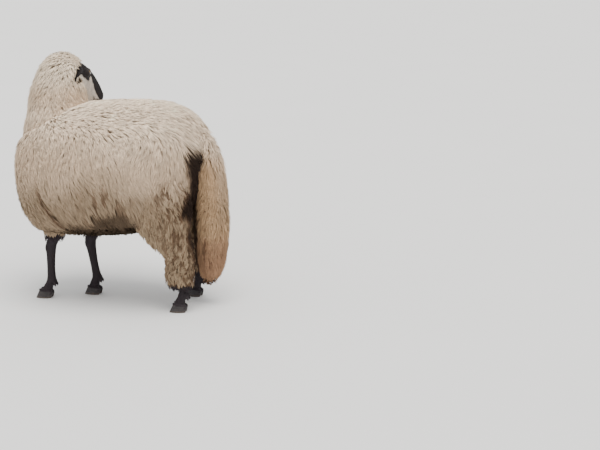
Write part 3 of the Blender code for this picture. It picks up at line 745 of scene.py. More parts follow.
def makeSkin():
    pieces, parts = [], []
    for form in forms:
        if form["name"] == "head":
            pieces.append(headSkin(form))
        elif form["name"].startswith("leg"):
            pieces.append(legSkin(form, form["name"][4:]))
        else:
            pieces.append(loftMesh(form, *bodyFaces))
        parts.append(form["name"])
    for side in (1, -1):
        pieces.append(earSkin(side))
        parts.append("ear")
    for name in feet:
        for place in dewclaws(name):
            place = Matrix.Translation(place) @ Matrix.Rotation(0.45, 4, "Y")
            pieces.append(ellipsoidMesh("dewclaw", place, (0.0050, 0.0038, 0.0086)))
            parts.append(f"leg_{name}")
        for side in (1, -1):
            for pad, place, lean, radii in toePads:
                place = toePlace(name, side) @ Matrix.Translation(place) @ Matrix.Rotation(lean, 4, "Y")
                pieces.append(ellipsoidMesh(pad, place, radii))
                parts.append(f"leg_{name}")
    names = sorted(set(parts))
    marks = [bpy.data.materials.new(f"mark_{name}") for name in names]
    for piece, part in zip(pieces, parts):
        for mark in marks:
            piece.data.materials.append(mark)
        piece.data.polygons.foreach_set("material_index", [names.index(part)] * len(piece.data.polygons))
    mesh = joinedSkin(pieces)
    count = len(mesh.vertices)
    points = np.zeros(count * 3)
    mesh.vertices.foreach_get("co", points)
    points = points.reshape(-1, 3)
    partOf = np.zeros(count, int)
    for polygon in mesh.polygons:
        partOf[list(polygon.vertices)] = polygon.material_index
    tint = np.ones((count, 4))
    for k, name in enumerate(names):
        chosen = partOf == k
        if chosen.any():
            colour = tintAt(points[chosen], name)
            # painted shade on the skin under the wool
            if not name.startswith("leg_front") and name not in ("head", "ear"):
                colour = colour * woolShade
            tint[chosen, :3] = colour
    attribute = mesh.attributes.new("tint", "FLOAT_COLOR", "POINT")
    attribute.data.foreach_set("color", tint.astype(np.float32).ravel())
    mesh.materials.clear()
    mesh.polygons.foreach_set("material_index", [0] * len(mesh.polygons))
    mesh.shade_smooth()
    for mark in marks:
        bpy.data.materials.remove(mark)
    return bpy.data.objects.new("skin", mesh)


def show(item, *nodes, slot):
    if item.name not in bpy.context.scene.collection.all_objects:
        bpy.context.scene.collection.objects.link(item)
    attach(item, "root")
    if nodes:
        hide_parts(*nodes)
    return item


# nodes: an input takes a plain value or a link from another socket
def feed(tree, socket, value):
    if isinstance(value, bpy.types.NodeSocket):
        tree.links.new(value, socket)
    else:
        socket.default_value = value


def feedAll(tree, node, inputs):
    for key, value in inputs.items():
        feed(tree, node.inputs[key], value)
    return node


def addNode(tree, kind, inputs=(), **values):
    node = tree.nodes.new(kind)
    for name, value in values.items():
        setattr(node, name, value)
    return feedAll(tree, node, dict(inputs))


def mathNode(tree, operation, *values):
    return addNode(tree, "ShaderNodeMath", enumerate(values), operation=operation).outputs[0]


def noiseNode(tree, vector, scale, detail=2.0):
    inputs = {"Vector": vector, "Scale": scale, "Detail": detail}
    return addNode(tree, "ShaderNodeTexNoise", inputs).outputs[0]


def rampNode(tree, factor, colours, places=(0.0, 1.0)):
    node = addNode(tree, "ShaderNodeValToRGB", {0: factor})
    for element, colour, place in zip(node.color_ramp.elements, colours, places):
        element.color, element.position = (*colour, 1), place
    return node.outputs[0]


def stepNode(tree, value, low, high):
    inputs = {0: value, 1: low, 2: high}
    return addNode(tree, "ShaderNodeMapRange", inputs, interpolation_type="SMOOTHSTEP").outputs[0]


def bumpNode(tree, height, strength, distance):
    inputs = {"Height": height, "Strength": strength, "Distance": distance}
    return addNode(tree, "ShaderNodeBump", inputs).outputs[0]


def mixNode(tree, factor, below, above):
    node = addNode(tree, "ShaderNodeMix", data_type="RGBA")
    return feedAll(tree, node, {0: factor, 6: below, 7: above}).outputs[2]


def scaleNode(tree, vector, scale):
    node = addNode(tree, "ShaderNodeVectorMath", operation="SCALE")
    return feedAll(tree, node, {0: vector, "Scale": scale}).outputs[0]


def addSockets(tree, direction, sockets):
    made = {}
    for name, kind, value in sockets:
        made[name] = tree.interface.new_socket(name, in_out=direction, socket_type="NodeSocket" + kind)
        if value is not None:
            made[name].default_value = value
    return made


def newMaterial(name):
    material = bpy.data.materials.new(name)
    material.use_nodes = True
    tree = material.node_tree
    return material, tree, tree.nodes["Principled BSDF"]


def coatGroup():
    tree = bpy.data.node_groups.new("coatGrain", "ShaderNodeTree")
    addSockets(tree, "INPUT", (("Tint", "Color", (1, 1, 1, 1)), ("Grain size", "Float", 300.0),
                               ("Grain stretch", "Float", 0.2), ("Contrast", "Float", 0.3)))
    addSockets(tree, "OUTPUT", (("Color", "Color", None), ("Height", "Float", None)))
    source = tree.nodes.new("NodeGroupInput").outputs
    place = tree.nodes.new("ShaderNodeTexCoord").outputs["Object"]
    stretch = addNode(tree, "ShaderNodeCombineXYZ", {0: 1.0, 1: 1.0, 2: source["Grain stretch"]}).outputs[0]
    scaled = addNode(tree, "ShaderNodeVectorMath", {0: place, 1: stretch}, operation="MULTIPLY").outputs[0]
    grain = noiseNode(tree, scaled, source["Grain size"], 3.0)
    patch = noiseNode(tree, place, 38.0, 4.0)
    centred = mathNode(tree, "SUBTRACT", mathNode(tree, "ADD", grain, patch), 1.0)
    strength = mathNode(tree, "MULTIPLY_ADD", centred, source["Contrast"], 1.0)
    addNode(tree, "NodeGroupOutput", {"Color": scaleNode(tree, source["Tint"], strength), "Height": grain})
    return tree


coatGrain = coatGroup()


def coatMaterial(name, roughness, sheen, grainSize, stretch, contrast, bump, distance):
    material, tree, shader = newMaterial(name)
    tint = addNode(tree, "ShaderNodeAttribute", attribute_name="tint").outputs["Color"]
    grain = addNode(tree, "ShaderNodeGroup", node_tree=coatGrain)
    sizes = {"Grain size": grainSize, "Grain stretch": stretch, "Contrast": contrast}
    feedAll(tree, grain, {"Tint": tint, **sizes})
    feedAll(tree, shader, {
        "Base Color": grain.outputs["Color"],
        "Normal": bumpNode(tree, grain.outputs["Height"], bump, distance),
        "Roughness": roughness,
        "Sheen Weight": sheen,
        "Sheen Tint": tint,
        "Sheen Roughness": 0.5,
        "Specular IOR Level": 0.25,
    })
    return material


skinMaterial = coatMaterial("shortHairAndSkin", 0.62, 0.10, 900.0, 0.35, 0.35, 0.45, 0.0012)
woolMaterial = coatMaterial("wool", 0.95, 0.30, 700.0, 0.12, 0.30, 0.25, 0.0010)
hairMaterial = coatMaterial("shortHair", 0.70, 0.12, 900.0, 0.30, 0.25, 0.20, 0.0005)


# the coat: staples of thin curved locks, from roots on the skin to tips at the outline
coatFields = (
    "step",  # between staples
    "locks",  # in each staple
    "width",  # of a lock
    "start", "top",  # where locks begin and end over the coat's depth
    "lean",  # along the lie, over the depth
    "crimp", "waves",
    "rings",
    "span",  # first and last place on the form
)
coats = {
    "trunk": (0.0099, 5, 0.0046, 0.10, 1.0, 2.30, 0.0016, 1.1, 4, (0.0, 1.0)),
    "neck": (0.0084, 5, 0.0036, 0.10, 1.0, 2.20, 0.0012, 1.0, 4, (0.10, 1.0)),
    "tailUnder": (0.0125, 2, 0.0110, 0.0, 0.82, 1.30, 0.0, 1, 3, (0.05, 1.0)),
    "tail": (0.0110, 4, 0.0034, 0.20, 1.0, 2.20, 0.0028, 1.7, 5, (0.05, 1.0)),
    "hindUnder": (0.0120, 2, 0.0105, 0.0, 0.84, 1.10, 0.0, 1, 3, (0.0, 0.78)),
    "hind": (0.0110, 4, 0.0038, 0.20, 1.0, 1.60, 0.0034, 1.15, 5, (0.0, 0.78)),
    "front": (0.0090, 4, 0.0030, 0.0, 1.0, 1.70, 0.0012, 1.1, 4, (0.0, 0.22)),
    "poll": (0.0056, 5, 0.0024, 0.0, 1.0, 1.60, 0.0018, 1.2, 4, None),
}
coats = {name: dict(zip(coatFields, values)) for name, values in coats.items()}
pollDepth, breastDepth = 0.0140, 0.013
hairCoats = {  # area for each tuft, its length and width, and how far it stands off the skin
    "face": (4.6e-6, 0.0062, 0.0012, 0.16),
    "ear": (4.2e-6, 0.0060, 0.0011, 0.22),
    "leg": (4.6e-6, 0.0068, 0.0012, 0.14),
}
lockShape = {
    "thickness": 0.42,  # of its width
    "ends": ((0, 0.3, 0.7, 0.9, 1.0), (0.75, 1.0, 0.85, 0.55, 0.2)),  # width from root to tip
    "shade": ((0, 0.45, 0.8, 1.0), (0.86, 0.95, 1.0, 1.02)),  # painted shade from root to tip: darker at the roots, where the locks shade each other, and a touch lighter at the tips
    # painted shade over the whole of each under-layer lock
    "underShade": 0.96,
    "scatter": 0.60,  # of the step, round its staple's middle
    "sunk": 0.0025,
    "stray": (0.05, 1.14),  # how many stand out, and by how much
    "seat": 0.0015,  # half its patch on the UV map
    "soften": 0.55,  # its shading turned towards the coat's own surface
}
nearEar = {"cup": 0.009, "root": 0.028, "beside": 0.024, "pressed": 0.28}
rootReach = 0.0022  # how far a root may lie off the skin
pieceLimit = 190000  # triangles


def steps(points, axis):  # from each point of a line to the next
    return np.linalg.norm(np.diff(points, axis=axis), axis=-1)


def spread(form, step, span, random):  # places all over a form, about a step apart
    u = np.linspace(*span, 300)
    turns = np.linspace(0, 2 * math.pi, 12, endpoint=False)
    lines = np.stack([loftPoint(form, u, np.full(300, turn)) for turn in turns])
    length = np.concatenate([[0], np.cumsum(steps(lines, 1).mean(0))])
    rows = max(3, int(round(length[-1] / step)))
    places, angles = [], []
    fine = np.linspace(0, 2 * math.pi, 97)
    for i in range(rows):
        at = np.interp((i + 0.5) / rows * length[-1], length, u)
        girth = np.concatenate([[0], np.cumsum(steps(loftPoint(form, np.full(97, at), fine, 0.0), 0))])
        count = max(4, int(round(girth[-1] / step)))
        mark = (np.arange(count) + 0.5 * (i % 2) + random.uniform(-0.38, 0.38, count)) / count
        angles.append(np.interp(mark * girth[-1] % girth[-1], girth, fine))
        row = np.clip((i + 0.5 + random.uniform(-0.42, 0.42, count)) / rows, 0, 1)
        places.append(np.clip(np.interp(row * length[-1], length, u), *span))
    return np.concatenate(places), np.concatenate(angles)


def lieOf(form, u, points, normals):
    name = form["name"]
    x, y, z = points.T
    if name == "trunk":
        upper = ramp(normals[:, 2], 0.35, 0.85)
        dock = ramp(-x, 0.235, 0.280) * ramp(z, 0.50, 0.56)  # the rump's wool closes over the tail's root
        aside = (0.8 - 0.5 * upper - 1.5 * dock) * np.tanh(y / 0.05)
        pull = np.stack([-0.30 - 0.9 * upper, aside, np.full(len(x), -1.0)], 1)
    elif name == "neck":
        ahead = sectionAt(form, np.minimum(u + 0.02, 1))[0] - sectionAt(form, np.maximum(u - 0.02, 0))[0]
        pull = -unit(ahead) + (-0.1, 0.0, -0.45)
    else:
        root = ramp(z, 0.50, 0.58) if name == "tail" else np.zeros(len(x))
        pull = np.stack([np.full(len(x), -0.05), 0.8 * root * np.tanh(y / 0.02), np.full(len(x), -1.0)], 1)
    swirl = noiseAt(points, 0.09, 11) - 0.5
    pull = unit(pull - rowDot(pull, normals) * normals)
    across = np.cross(normals, pull)
    return unit(pull + across * (1.1 * swirl[:, None]))


def lockPieces(name, locks, profile, material, slot, soften):
    count, rings = locks[0].shape[:2]
    perPiece = pieceLimit // (6 * (rings - 2) + 4)
    for k, start in enumerate(range(0, count, perPiece)):
        chosen = [values[start : start + perPiece] for values in locks]
        show(lockPiece(f"{name}{k + 1}", *chosen, profile, material, soften), slot=slot)


def lockPiece(name, curves, sides, outs, widths, colours, seats, profile, material, soften):
    count, rings = curves.shape[:2]
    bodyRings = rings - 1
    profile = np.asarray(profile)[None, :bodyRings, None] * widths[:, None, None]
    middle = curves[:, :bodyRings]
    side = sides[:, None] * profile * 0.5
    out = outs[:, None] * profile * lockShape["thickness"]
    corners = np.stack([middle - side, middle + side, middle + out], 2).reshape(count, bodyRings * 3, 3)
    vertices = np.concatenate([corners, curves[:, -1:]], 1)
    perLock = bodyRings * 3 + 1
    quads, tris = [], [(0, 1, 2)]
    for i in range(bodyRings - 1):
        for k in range(3):
            n = (k + 1) % 3
            quads.append((i * 3 + k, (i + 1) * 3 + k, (i + 1) * 3 + n, i * 3 + n))
    top = (bodyRings - 1) * 3
    for k in range(3):
        tris.append((top + k, perLock - 1, top + (k + 1) % 3))
    quads, tris = np.array(quads, int).reshape(-1, 4), np.array(tris)
    sample = vertices[0]
    volume = 0.0
    for face in [*quads[:, [0, 1, 2]], *quads[:, [0, 2, 3]], *tris]:
        a, b, c = sample[face] - sample[0]
        volume += np.dot(a, np.cross(b, c))
    if volume < 0:
        quads, tris = quads[:, ::-1], tris[:, ::-1]
    start = (np.arange(count) * perLock)[:, None, None]
    loops = np.concatenate([(start + kind[None]).reshape(count, -1) for kind in (quads, tris)], 1)
    sizes = np.tile(np.concatenate([np.full(len(quads), 4), np.full(len(tris), 3)]), count)
    mesh = bpy.data.meshes.new(name)
    mesh.vertices.add(count * perLock)
    mesh.vertices.foreach_set("co", (vertices.reshape(-1, 3) + np.array(shift)).astype(np.float32).ravel())
    mesh.loops.add(loops.size)
    mesh.loops.foreach_set("vertex_index", loops.ravel().astype(np.int32))
    mesh.polygons.add(len(sizes))
    mesh.polygons.foreach_set("loop_start", np.concatenate([[0], np.cumsum(sizes)[:-1]]).astype(np.int32))
    mesh.polygons.foreach_set("use_smooth", np.ones(len(sizes), bool))
    mesh.update(calc_edges=True)
    tone = np.concatenate([np.repeat(colours[:, :bodyRings], 3, axis=1), colours[:, -1:]], 1).reshape(-1, 3)
    tone = np.concatenate([tone, np.ones((len(tone), 1))], 1)
    attribute = mesh.attributes.new("tint", "FLOAT_COLOR", "POINT")
    attribute.data.foreach_set("color", tone.astype(np.float32).ravel())
    across = np.concatenate([np.tile((-1.0, 1.0, 0.0), bodyRings), [0.0]])
    down = np.concatenate([np.repeat(np.linspace(-1, 0.8, bodyRings), 3), [1.0]])
    patch = np.stack([across, down], 1) * lockShape["seat"]
    marks = (seats[:, None] + patch[None]).reshape(-1, 2)
    layer = mesh.uv_layers.new(name="OFBake")
    layer.data.foreach_set("uv", marks[loops.ravel()].astype(np.float32).ravel())
    mesh.materials.append(material)
    own = np.zeros(len(vertices) * perLock * 3, np.float32)
    mesh.vertices.foreach_get("normal", own)
    blended = unit(own.reshape(count, perLock, 3) * (1 - soften) + unit(outs)[:, None] * soften)
    mesh.normals_split_custom_set_from_vertices(blended.reshape(-1, 3))
    return bpy.data.objects.new(name, mesh)


def growCoat(name, form, coat, seed, slot="fleece"):
    random = np.random.default_rng(seed)
    u, angle = spread(form, coat["step"] * (1.0), coat["span"], random)
    points = loftPoint(form, u, angle)
    keep = np.array([(skinTree.find_nearest(Vector(p))[3] or 0) < rootReach for p in points])
    keep &= ~onEar(points, nearEar["cup"]) & (fromEarRoot(points) > nearEar["root"])
    u, angle, points = u[keep], angle[keep], points[keep]
    order = np.argsort(points @ np.array((1.0, 0.15, 0.05)))
    u, angle, points = u[order], angle[order], points[order]
    normals = loftNormal(form, u, angle)
    lies = lieOf(form, u, points, normals)
    seats = seatsOn(form, angle / (2 * math.pi) % 1.0, u)
    depth = depthAt(form, u) * np.where(onEar(points, nearEar["beside"]), nearEar["pressed"], 1.0)

    hang = coat["lean"] * depth
    gathered = np.full(len(u), 0.50)
    if form["name"] in ("trunk", "neck"):
        gathered = 0.16 + 0.44 * ramp(0.50 - points[:, 2], -0.05, 0.20)
    if form["name"] == "trunk":
        x, y, z = points.T
        under = -normals[:, 2]
        hang = hang * (1 + 0.8 * ramp(-x, 0.235, 0.280) * ramp(z, 0.50, 0.56))  # over the tail's root
        hang = hang * (1 - 0.55 * ramp(under, 0.55, 0.85))
        ragged = ramp(noiseAt(points * (1, 1, 0.3), 0.024, 16), 0.35, 0.75)  # the flank's points
        skirt = ramp(under, 0.10, 0.35) * (1 - ramp(under, 0.50, 0.75))
        skirt = skirt * ramp(x, -0.25, -0.15) * (1 - ramp(x, 0.17, 0.24))
        hang = hang * (1 + 0.9 * ragged * skirt)
        depth = depth * (1 - 0.55 * foldOf(points)) * (1 - 0.45 * fringeOf(points))
    if form["name"] == "tail":
        hang = hang * (1 - 0.92 * ramp(u, 0.72, 0.96))
    growLocks(name, coat, form["name"], (points, normals, lies, seats, depth, hang, gathered), random, slot)


def growLocks(name, coat, part, staples, random, slot):
    points, normals, lies, seats, depth, hang, gathered = staples
    locks = coat["locks"]
    count = len(points) * locks
    many = lambda values: np.repeat(values, locks, axis=0)
    vary = lambda amount, *shape: amount * random.uniform(-1, 1, shape or count)
    mound = 0.93 + 0.17 * (noiseAt(points, 0.042, 12) - 0.5) + vary(0.10, len(points))
    bend = random.uniform(-0.16, 0.16, len(points))
    phase = random.uniform(0, 1, len(points))
    staple = random.uniform(0.90, 1.07, len(points))
    normal, lie, root = many(normals), many(lies), many(points)
    across = np.cross(normal, lie)
    lie = unit(lie + across * (many(bend) + random.uniform(-0.10, 0.10, count))[:, None])
    across = np.cross(normal, lie)
    turn = random.uniform(0, 2 * math.pi, count)
    reach = lockShape["scatter"] * coat["step"] * np.sqrt(random.uniform(0, 1, count))
    aside = lie * (np.cos(turn) * reach)[:, None] + across * (np.sin(turn) * reach)[:, None]
    height = many(depth * mound) * (1.0 + vary(0.10))
    lean = many(hang) * (1.0 + vary(0.16))
    share, taller = lockShape["stray"]
    height = height * np.where(random.uniform(0, 1, count) < share, taller, 1.0)
    rings = coat["rings"]
    s = np.linspace(0, 1, rings)
    rise = coat["start"] + (coat["top"] - coat["start"]) * (1 - (1 - s) ** 1.9)
    turns = coat["waves"] * s[None] + many(phase)[:, None] + random.uniform(-0.06, 0.06, (count, 1))
    wave = np.sin(2 * math.pi * turns)
    wave = (wave - wave[:, :1]) * s[None] * coat["crimp"]
    gather = 1 - many(gathered)[:, None] * s[None] ** 1.3
    curves = root[:, None] + aside[:, None] * gather[..., None]
    curves = curves + normal[:, None] * (height[:, None] * rise - lockShape["sunk"] * (1 - s))[..., None]
    curves = curves + lie[:, None] * (lean[:, None] * s**1.45)[..., None] + across[:, None] * wave[..., None]
    colour = tintAt(curves[:, -1], part) * many(staple)[:, None] * (1 + vary(0.07, count, 1))
    # painted shade along each lock, from its root to its tip
    shade = np.interp(s, *lockShape["shade"]) if coat["top"] == 1 else np.full(rings, lockShape["underShade"])
    colours = np.clip(colour[:, None] * shade[None, :, None], 0, 1)
    widths = coat["width"] * (1 + vary(0.25))
    profile = np.interp(s, *lockShape["ends"])
    made = (curves, across, unit(normal + 0.4 * lie), widths, colours, many(seats))
    lockPieces(name, made, profile, woolMaterial, slot, lockShape["soften"])
    print(f"{name}: {count} locks, {count * (6 * (rings - 2) + 4)} triangles")


def growHair(name, part, kind, roots, normals, lies, seats, seed, slot):
    _, length, width, stand = hairCoats[kind]
    random = np.random.default_rng(seed)
    count = len(roots)
    across = np.cross(normals, lies)
    lie = unit(lies + across * random.uniform(-0.25, 0.25, (count, 1)))
    across = np.cross(normals, lie)
    reach = length * random.uniform(0.75, 1.2, count)
    base = roots - 0.0004 * normals
    tip = roots + (lie + stand * normals) * reach[:, None]
    colour = tintAt(tip, part) * (1 + 0.16 * random.uniform(-1, 1, (count, 1)))
    # painted shade: darker at each tuft's root, lighter at its tip
    colours = np.clip(colour[:, None] * np.array((0.88, 1.08))[None, :, None], 0, 1)
    widths = width * (1 + 0.25 * random.uniform(-1, 1, count))
    print(f"{name}: {count} tufts, {count * 4} triangles")
    hairs = (np.stack([base, tip], 1), across, normals, widths, colours, seats)
    lockPieces(name, hairs, (1.0, 0.2), hairMaterial, slot, 0.5)


skin = makeSkin()
print("skin", len(skin.data.vertices), "vertices")
corners = [vertex.co.copy() for vertex in skin.data.vertices]
skinTree = BVHTree.FromPolygons(corners, [tuple(polygon.vertices) for polygon in skin.data.polygons])
byName = {form["name"]: form for form in forms}


growCoat("fleeceTrunk", byName["trunk"], coats["trunk"], 1)
growCoat("fleeceNeck", byName["neck"], coats["neck"], 2)
growCoat("underTail", byName["tail"], coats["tailUnder"], 54, slot="stained_wool")
growCoat("woolTail", byName["tail"], coats["tail"], 4, slot="stained_wool")
for k, name in enumerate(feet):
    kind = name.split("_")[0]
    if kind == "hind":
        growCoat("under" + titleOf(name), byName[f"leg_{name}"], coats["hindUnder"], 60 + k, slot="leg_wool")
    growCoat("wool" + titleOf(name), byName[f"leg_{name}"], coats[kind], 10 + k, slot="leg_wool")
print("wool grown")


def surfaceRoots(area, seed, wanted):  # roots spread over the skin's own faces
    random = np.random.default_rng(seed)
    mesh = skin.data
    mesh.calc_loop_triangles()
    triangles = np.array([t.vertices[:] for t in mesh.loop_triangles])
    points = np.array([v.co for v in mesh.vertices])
    normals = np.array([v.normal for v in mesh.vertices])
    a, b, c = points[triangles[:, 0]], points[triangles[:, 1]], points[triangles[:, 2]]
    chosen = wanted((a + b + c) / 3)
    triangles, a, b, c = triangles[chosen], a[chosen], b[chosen], c[chosen]
    size = 0.5 * np.linalg.norm(np.cross(b - a, c - a), axis=1)
    count = int(size.sum() / (area * 1.0))
    pick = (np.arange(count) + random.uniform(0, 1, count)) / count
    pick = np.searchsorted(np.cumsum(size) / size.sum(), pick)
    pick = np.minimum(pick, len(size) - 1)
    p, q = random.uniform(0, 1, (2, count, 1))
    p, q = np.where(p + q > 1, 1 - p, p), np.where(p + q > 1, 1 - q, q)
    roots = a[pick] + p * (b - a)[pick] + q * (c - a)[pick]
    return roots, unit(normals[triangles[pick]].mean(1))


def along(normals, pull):
    pull = np.broadcast_to(pull, normals.shape)
    return unit(pull - rowDot(pull, normals) * normals + 1e-6)


def breastWool():  # over the blunt front end of the trunk
    coat = coats["trunk"]
    points, normals = surfaceRoots(coat["step"] ** 2, 24, lambda p: p[:, 0] > 0.3455)
    count = len(points)
    seats = seatsOn(byName["trunk"], turnOf(points[:, 2] - 0.45, points[:, 1]), np.ones(count))
    depth = np.full(count, breastDepth)
    lies = along(normals, np.array((0.0, 0.0, -1.0)))
    staples = (points, normals, lies, seats, depth, 2.4 * depth, np.full(count, 0.20))
    growLocks("fleeceBreast", coat, "trunk", staples, np.random.default_rng(6), "fleece")


def headSeats(place, behind, length):
    down = np.clip((place[:, 0] + behind) / length, 0, 1)
    return seatsOn(byName["head"], turnOf(place[:, 2] + 0.015, place[:, 1]), down)


def crownWool():
    coat = coats["poll"]

    def onCrown(points):
        away = (headPlace(points) - (0.0, 0.0, 0.030)) * (1.0, 1.0, 0.9)
        return onPoll(points) & (np.linalg.norm(away, axis=1) < 0.086)

    points, normals = surfaceRoots(coat["step"] ** 2, 20, onCrown)
    place = headPlace(points)
    aside = 0.5 * np.sign(place[:, 1:2]) * ramp(np.abs(place[:, 1:2]), 0.01, 0.05)
    lies = along(normals, 0.9 * headForward - 0.35 * headUp + aside * headLeft)
    seats = headSeats(place, 0.06, 0.30)
    depth = pollDepth * (1 - 0.50 * ramp(place[:, 0], 0.020, 0.045))
    depth = depth * np.where(onEar(points, 0.020), 0.5, 1.0)
    staples = (points, normals, lies, seats, depth, coat["lean"] * depth, np.full(len(points), 0.30))
    growLocks("fleecePoll", coat, "poll", staples, np.random.default_rng(3), "fleece")


def faceHair():
    middle = onHead((0.1, 0, -0.01))
    inFace = lambda p: (headPlace(p)[:, 0] > 0.004) & (np.linalg.norm(p - middle, axis=1) < 0.16)
    roots, normals = surfaceRoots(hairCoats["face"][0], 21, inFace)
    place = headPlace(roots)
    beside = np.minimum(*[np.linalg.norm(roots - middle, axis=1) for middle in eyeMiddles])
    nose = place - np.array(nostril) * (1, 0, 1)
    bare = (beside < eyeShape["radius"] + 0.0028) | ((nose[:, 0] > -0.012) & (np.abs(nose[:, 2]) < 0.015))
    bare |= (place[:, 0] > 0.178) & (np.abs(place[:, 2] - mouthAt(place[:, 0])) < 0.0026)
    bare |= onPoll(roots) & (place[:, 0] < 0.040) | onEar(roots, 0.0034)
    roots, normals, place = roots[~bare], normals[~bare], place[~bare]
    lies = along(normals, np.where(place[:, :1] > 0.10, 1.0, 0.3) * headForward - 0.45 * headUp)
    seats = headSeats(place, 0.02, 0.25)
    growHair("hairFace", "head", "face", roots, normals, lies, seats, 22, "face_hair")


def earHair():
    for side, word in ((1, "Left"), (-1, "Right")):
        turn = np.array(earMatrix(side))
        onAxes = lambda p: (p - turn[:3, 3]) @ turn[:3, :3]
        inEar = lambda p: onEar(p, 0.0034) & (np.abs(onAxes(p)[:, 0]) < 0.05)
        roots, normals = surfaceRoots(hairCoats["ear"][0], 23 + side, inEar)
        outwards = along(normals, turn[:3, 1])
        local = onAxes(roots)
        across = 0.36 + 0.07 * (side + 1) + 0.06 * np.clip(local[:, 0] / 0.05 + 0.5, 0, 1)
        seats = np.stack([across, 0.50 + 0.12 * np.clip(local[:, 1] / 0.11, 0, 1)], 1)
        growHair("hairEar" + word, "ear", "ear", roots, normals, outwards, seats, 25 + side, "black_skin")


def legHair():
    for k, (name, (forward, left, _, _)) in enumerate(feet.items()):
        top = 0.240 if name.startswith("front") else 0.092
        claws = [np.array(claw) for claw in dewclaws(name)]

        def inLeg(points):
            x, y, z = points.T
            bare = np.minimum(*[np.linalg.norm(points - claw, axis=1) for claw in claws]) < 0.0078
            bare |= z < 0.027 - 0.4 * np.minimum(x - forward, 0)
            return (z < top) & (np.hypot(x - forward, y - left) < 0.075) & ~bare

        roots, normals = surfaceRoots(hairCoats["leg"][0], 31 + k, inLeg)
        lies = along(normals, np.array((0.0, 0.0, -1.0)))
        angle = turnOf(roots[:, 1] - left, roots[:, 0] - forward)
        seats = seatsOn(byName[f"leg_{name}"], angle, 1 - np.clip(roots[:, 2] / 0.4, 0, 1))
        title = "hair" + titleOf(name)
        growHair(title, f"leg_{name}", "leg", roots, normals, lies, seats, 41 + k, "black_skin")


breastWool()
crownWool()
faceHair()
earHair()
legHair()
print("short hair grown")

skin.data.transform(Matrix.Translation(shift))
skin.data.materials.append(skinMaterial)
fleshNodes = ["torso", "neck", "tail", "head", "ear_left", "ear_right", *[f"leg_{name}" for name in feet]]
show(skin, *fleshNodes, slot="fleece")


# eyes
def eyeMaterial():
    material, tree, shader = newMaterial("eyeball")
    gaze = addNode(tree, "ShaderNodeUVMap", uv_map="gaze").outputs[0]
    x, y, _ = addNode(tree, "ShaderNodeSeparateXYZ", {0: gaze}).outputs
    squares = mathNode(tree, "ADD", mathNode(tree, "MULTIPLY", x, x), mathNode(tree, "MULTIPLY", y, y))
    radius = mathNode(tree, "SQRT", squares)
    wide = mathNode(tree, "MULTIPLY", mathNode(tree, "ABSOLUTE", x), 2.9)
    tall = mathNode(tree, "MULTIPLY", mathNode(tree, "ABSOLUTE", y), 7.5)
    slit = mathNode(tree, "MAXIMUM", wide, tall)
    turn = mathNode(tree, "MULTIPLY", mathNode(tree, "ARCTAN2", y, x), 9.0)
    spokes = {0: turn, 1: mathNode(tree, "MULTIPLY", radius, 2.0)}
    streaks = noiseNode(tree, addNode(tree, "ShaderNodeCombineXYZ", spokes).outputs[0], 1.0)
    iris = rampNode(tree, streaks, ((0.07, 0.034, 0.012), (0.17, 0.10, 0.040)))

    colour = iris
    for value, low, high, over in (
        (radius, 0.54, 0.64, (0.05, 0.028, 0.016, 1)),  # the iris's dark rim
        (radius, 0.66, 0.72, (0.42, 0.34, 0.27, 1)),  # the white
        (slit, 1.08, 0.92, (0.004, 0.004, 0.006, 1)),  # the pupil
    ):
        colour = mixNode(tree, stepNode(tree, value, low, high), colour, over)
    gloss = {"Roughness": 0.12, "Coat Weight": 1.0, "Coat Roughness": 0.02}
    feedAll(tree, shader, {"Base Color": colour, **gloss})
    return material


def makeEyes():
    material = eyeMaterial()
    for side, word in ((1, "left"), (-1, "right")):
        middle = Vector(eyeMiddles[0 if side > 0 else 1])
        gaze = Vector(np.array(eyeShape["gaze"]) * (1, side, 1) @ headTurn).normalized()
        flat = gaze.cross(Vector((0, 0, 1))).normalized()
        rise = flat.cross(gaze)
        shape = bmesh.new()
        bmesh.ops.create_uvsphere(shape, u_segments=64, v_segments=48, radius=1.0)
        layer = shape.loops.layers.uv.new("gaze")
        for vertex in shape.verts:
            x, y, z = vertex.co
            bulge = 1.0 + 0.055 * max(0.0, (z - 0.76) / 0.24) ** 0.8
            vertex.co = middle + eyeShape["radius"] * bulge * (flat * x + rise * y + gaze * z)
        for face in shape.faces:
            for loop in face.loops:
                away = (loop.vert.co - middle) / eyeShape["radius"]
                loop[layer].uv = (away.dot(flat), away.dot(rise)) if away.dot(gaze) > 0 else (0.95, 0.95)
        item = shapeObject(f"eyeball_{word}", shape)
        item.data.transform(Matrix.Translation(shift))
        item.data.shade_smooth()
        item.data.materials.append(material)
        show(turnOutwards(item), f"eye_{word}", slot="eye")


makeEyes()
print("eyes made")


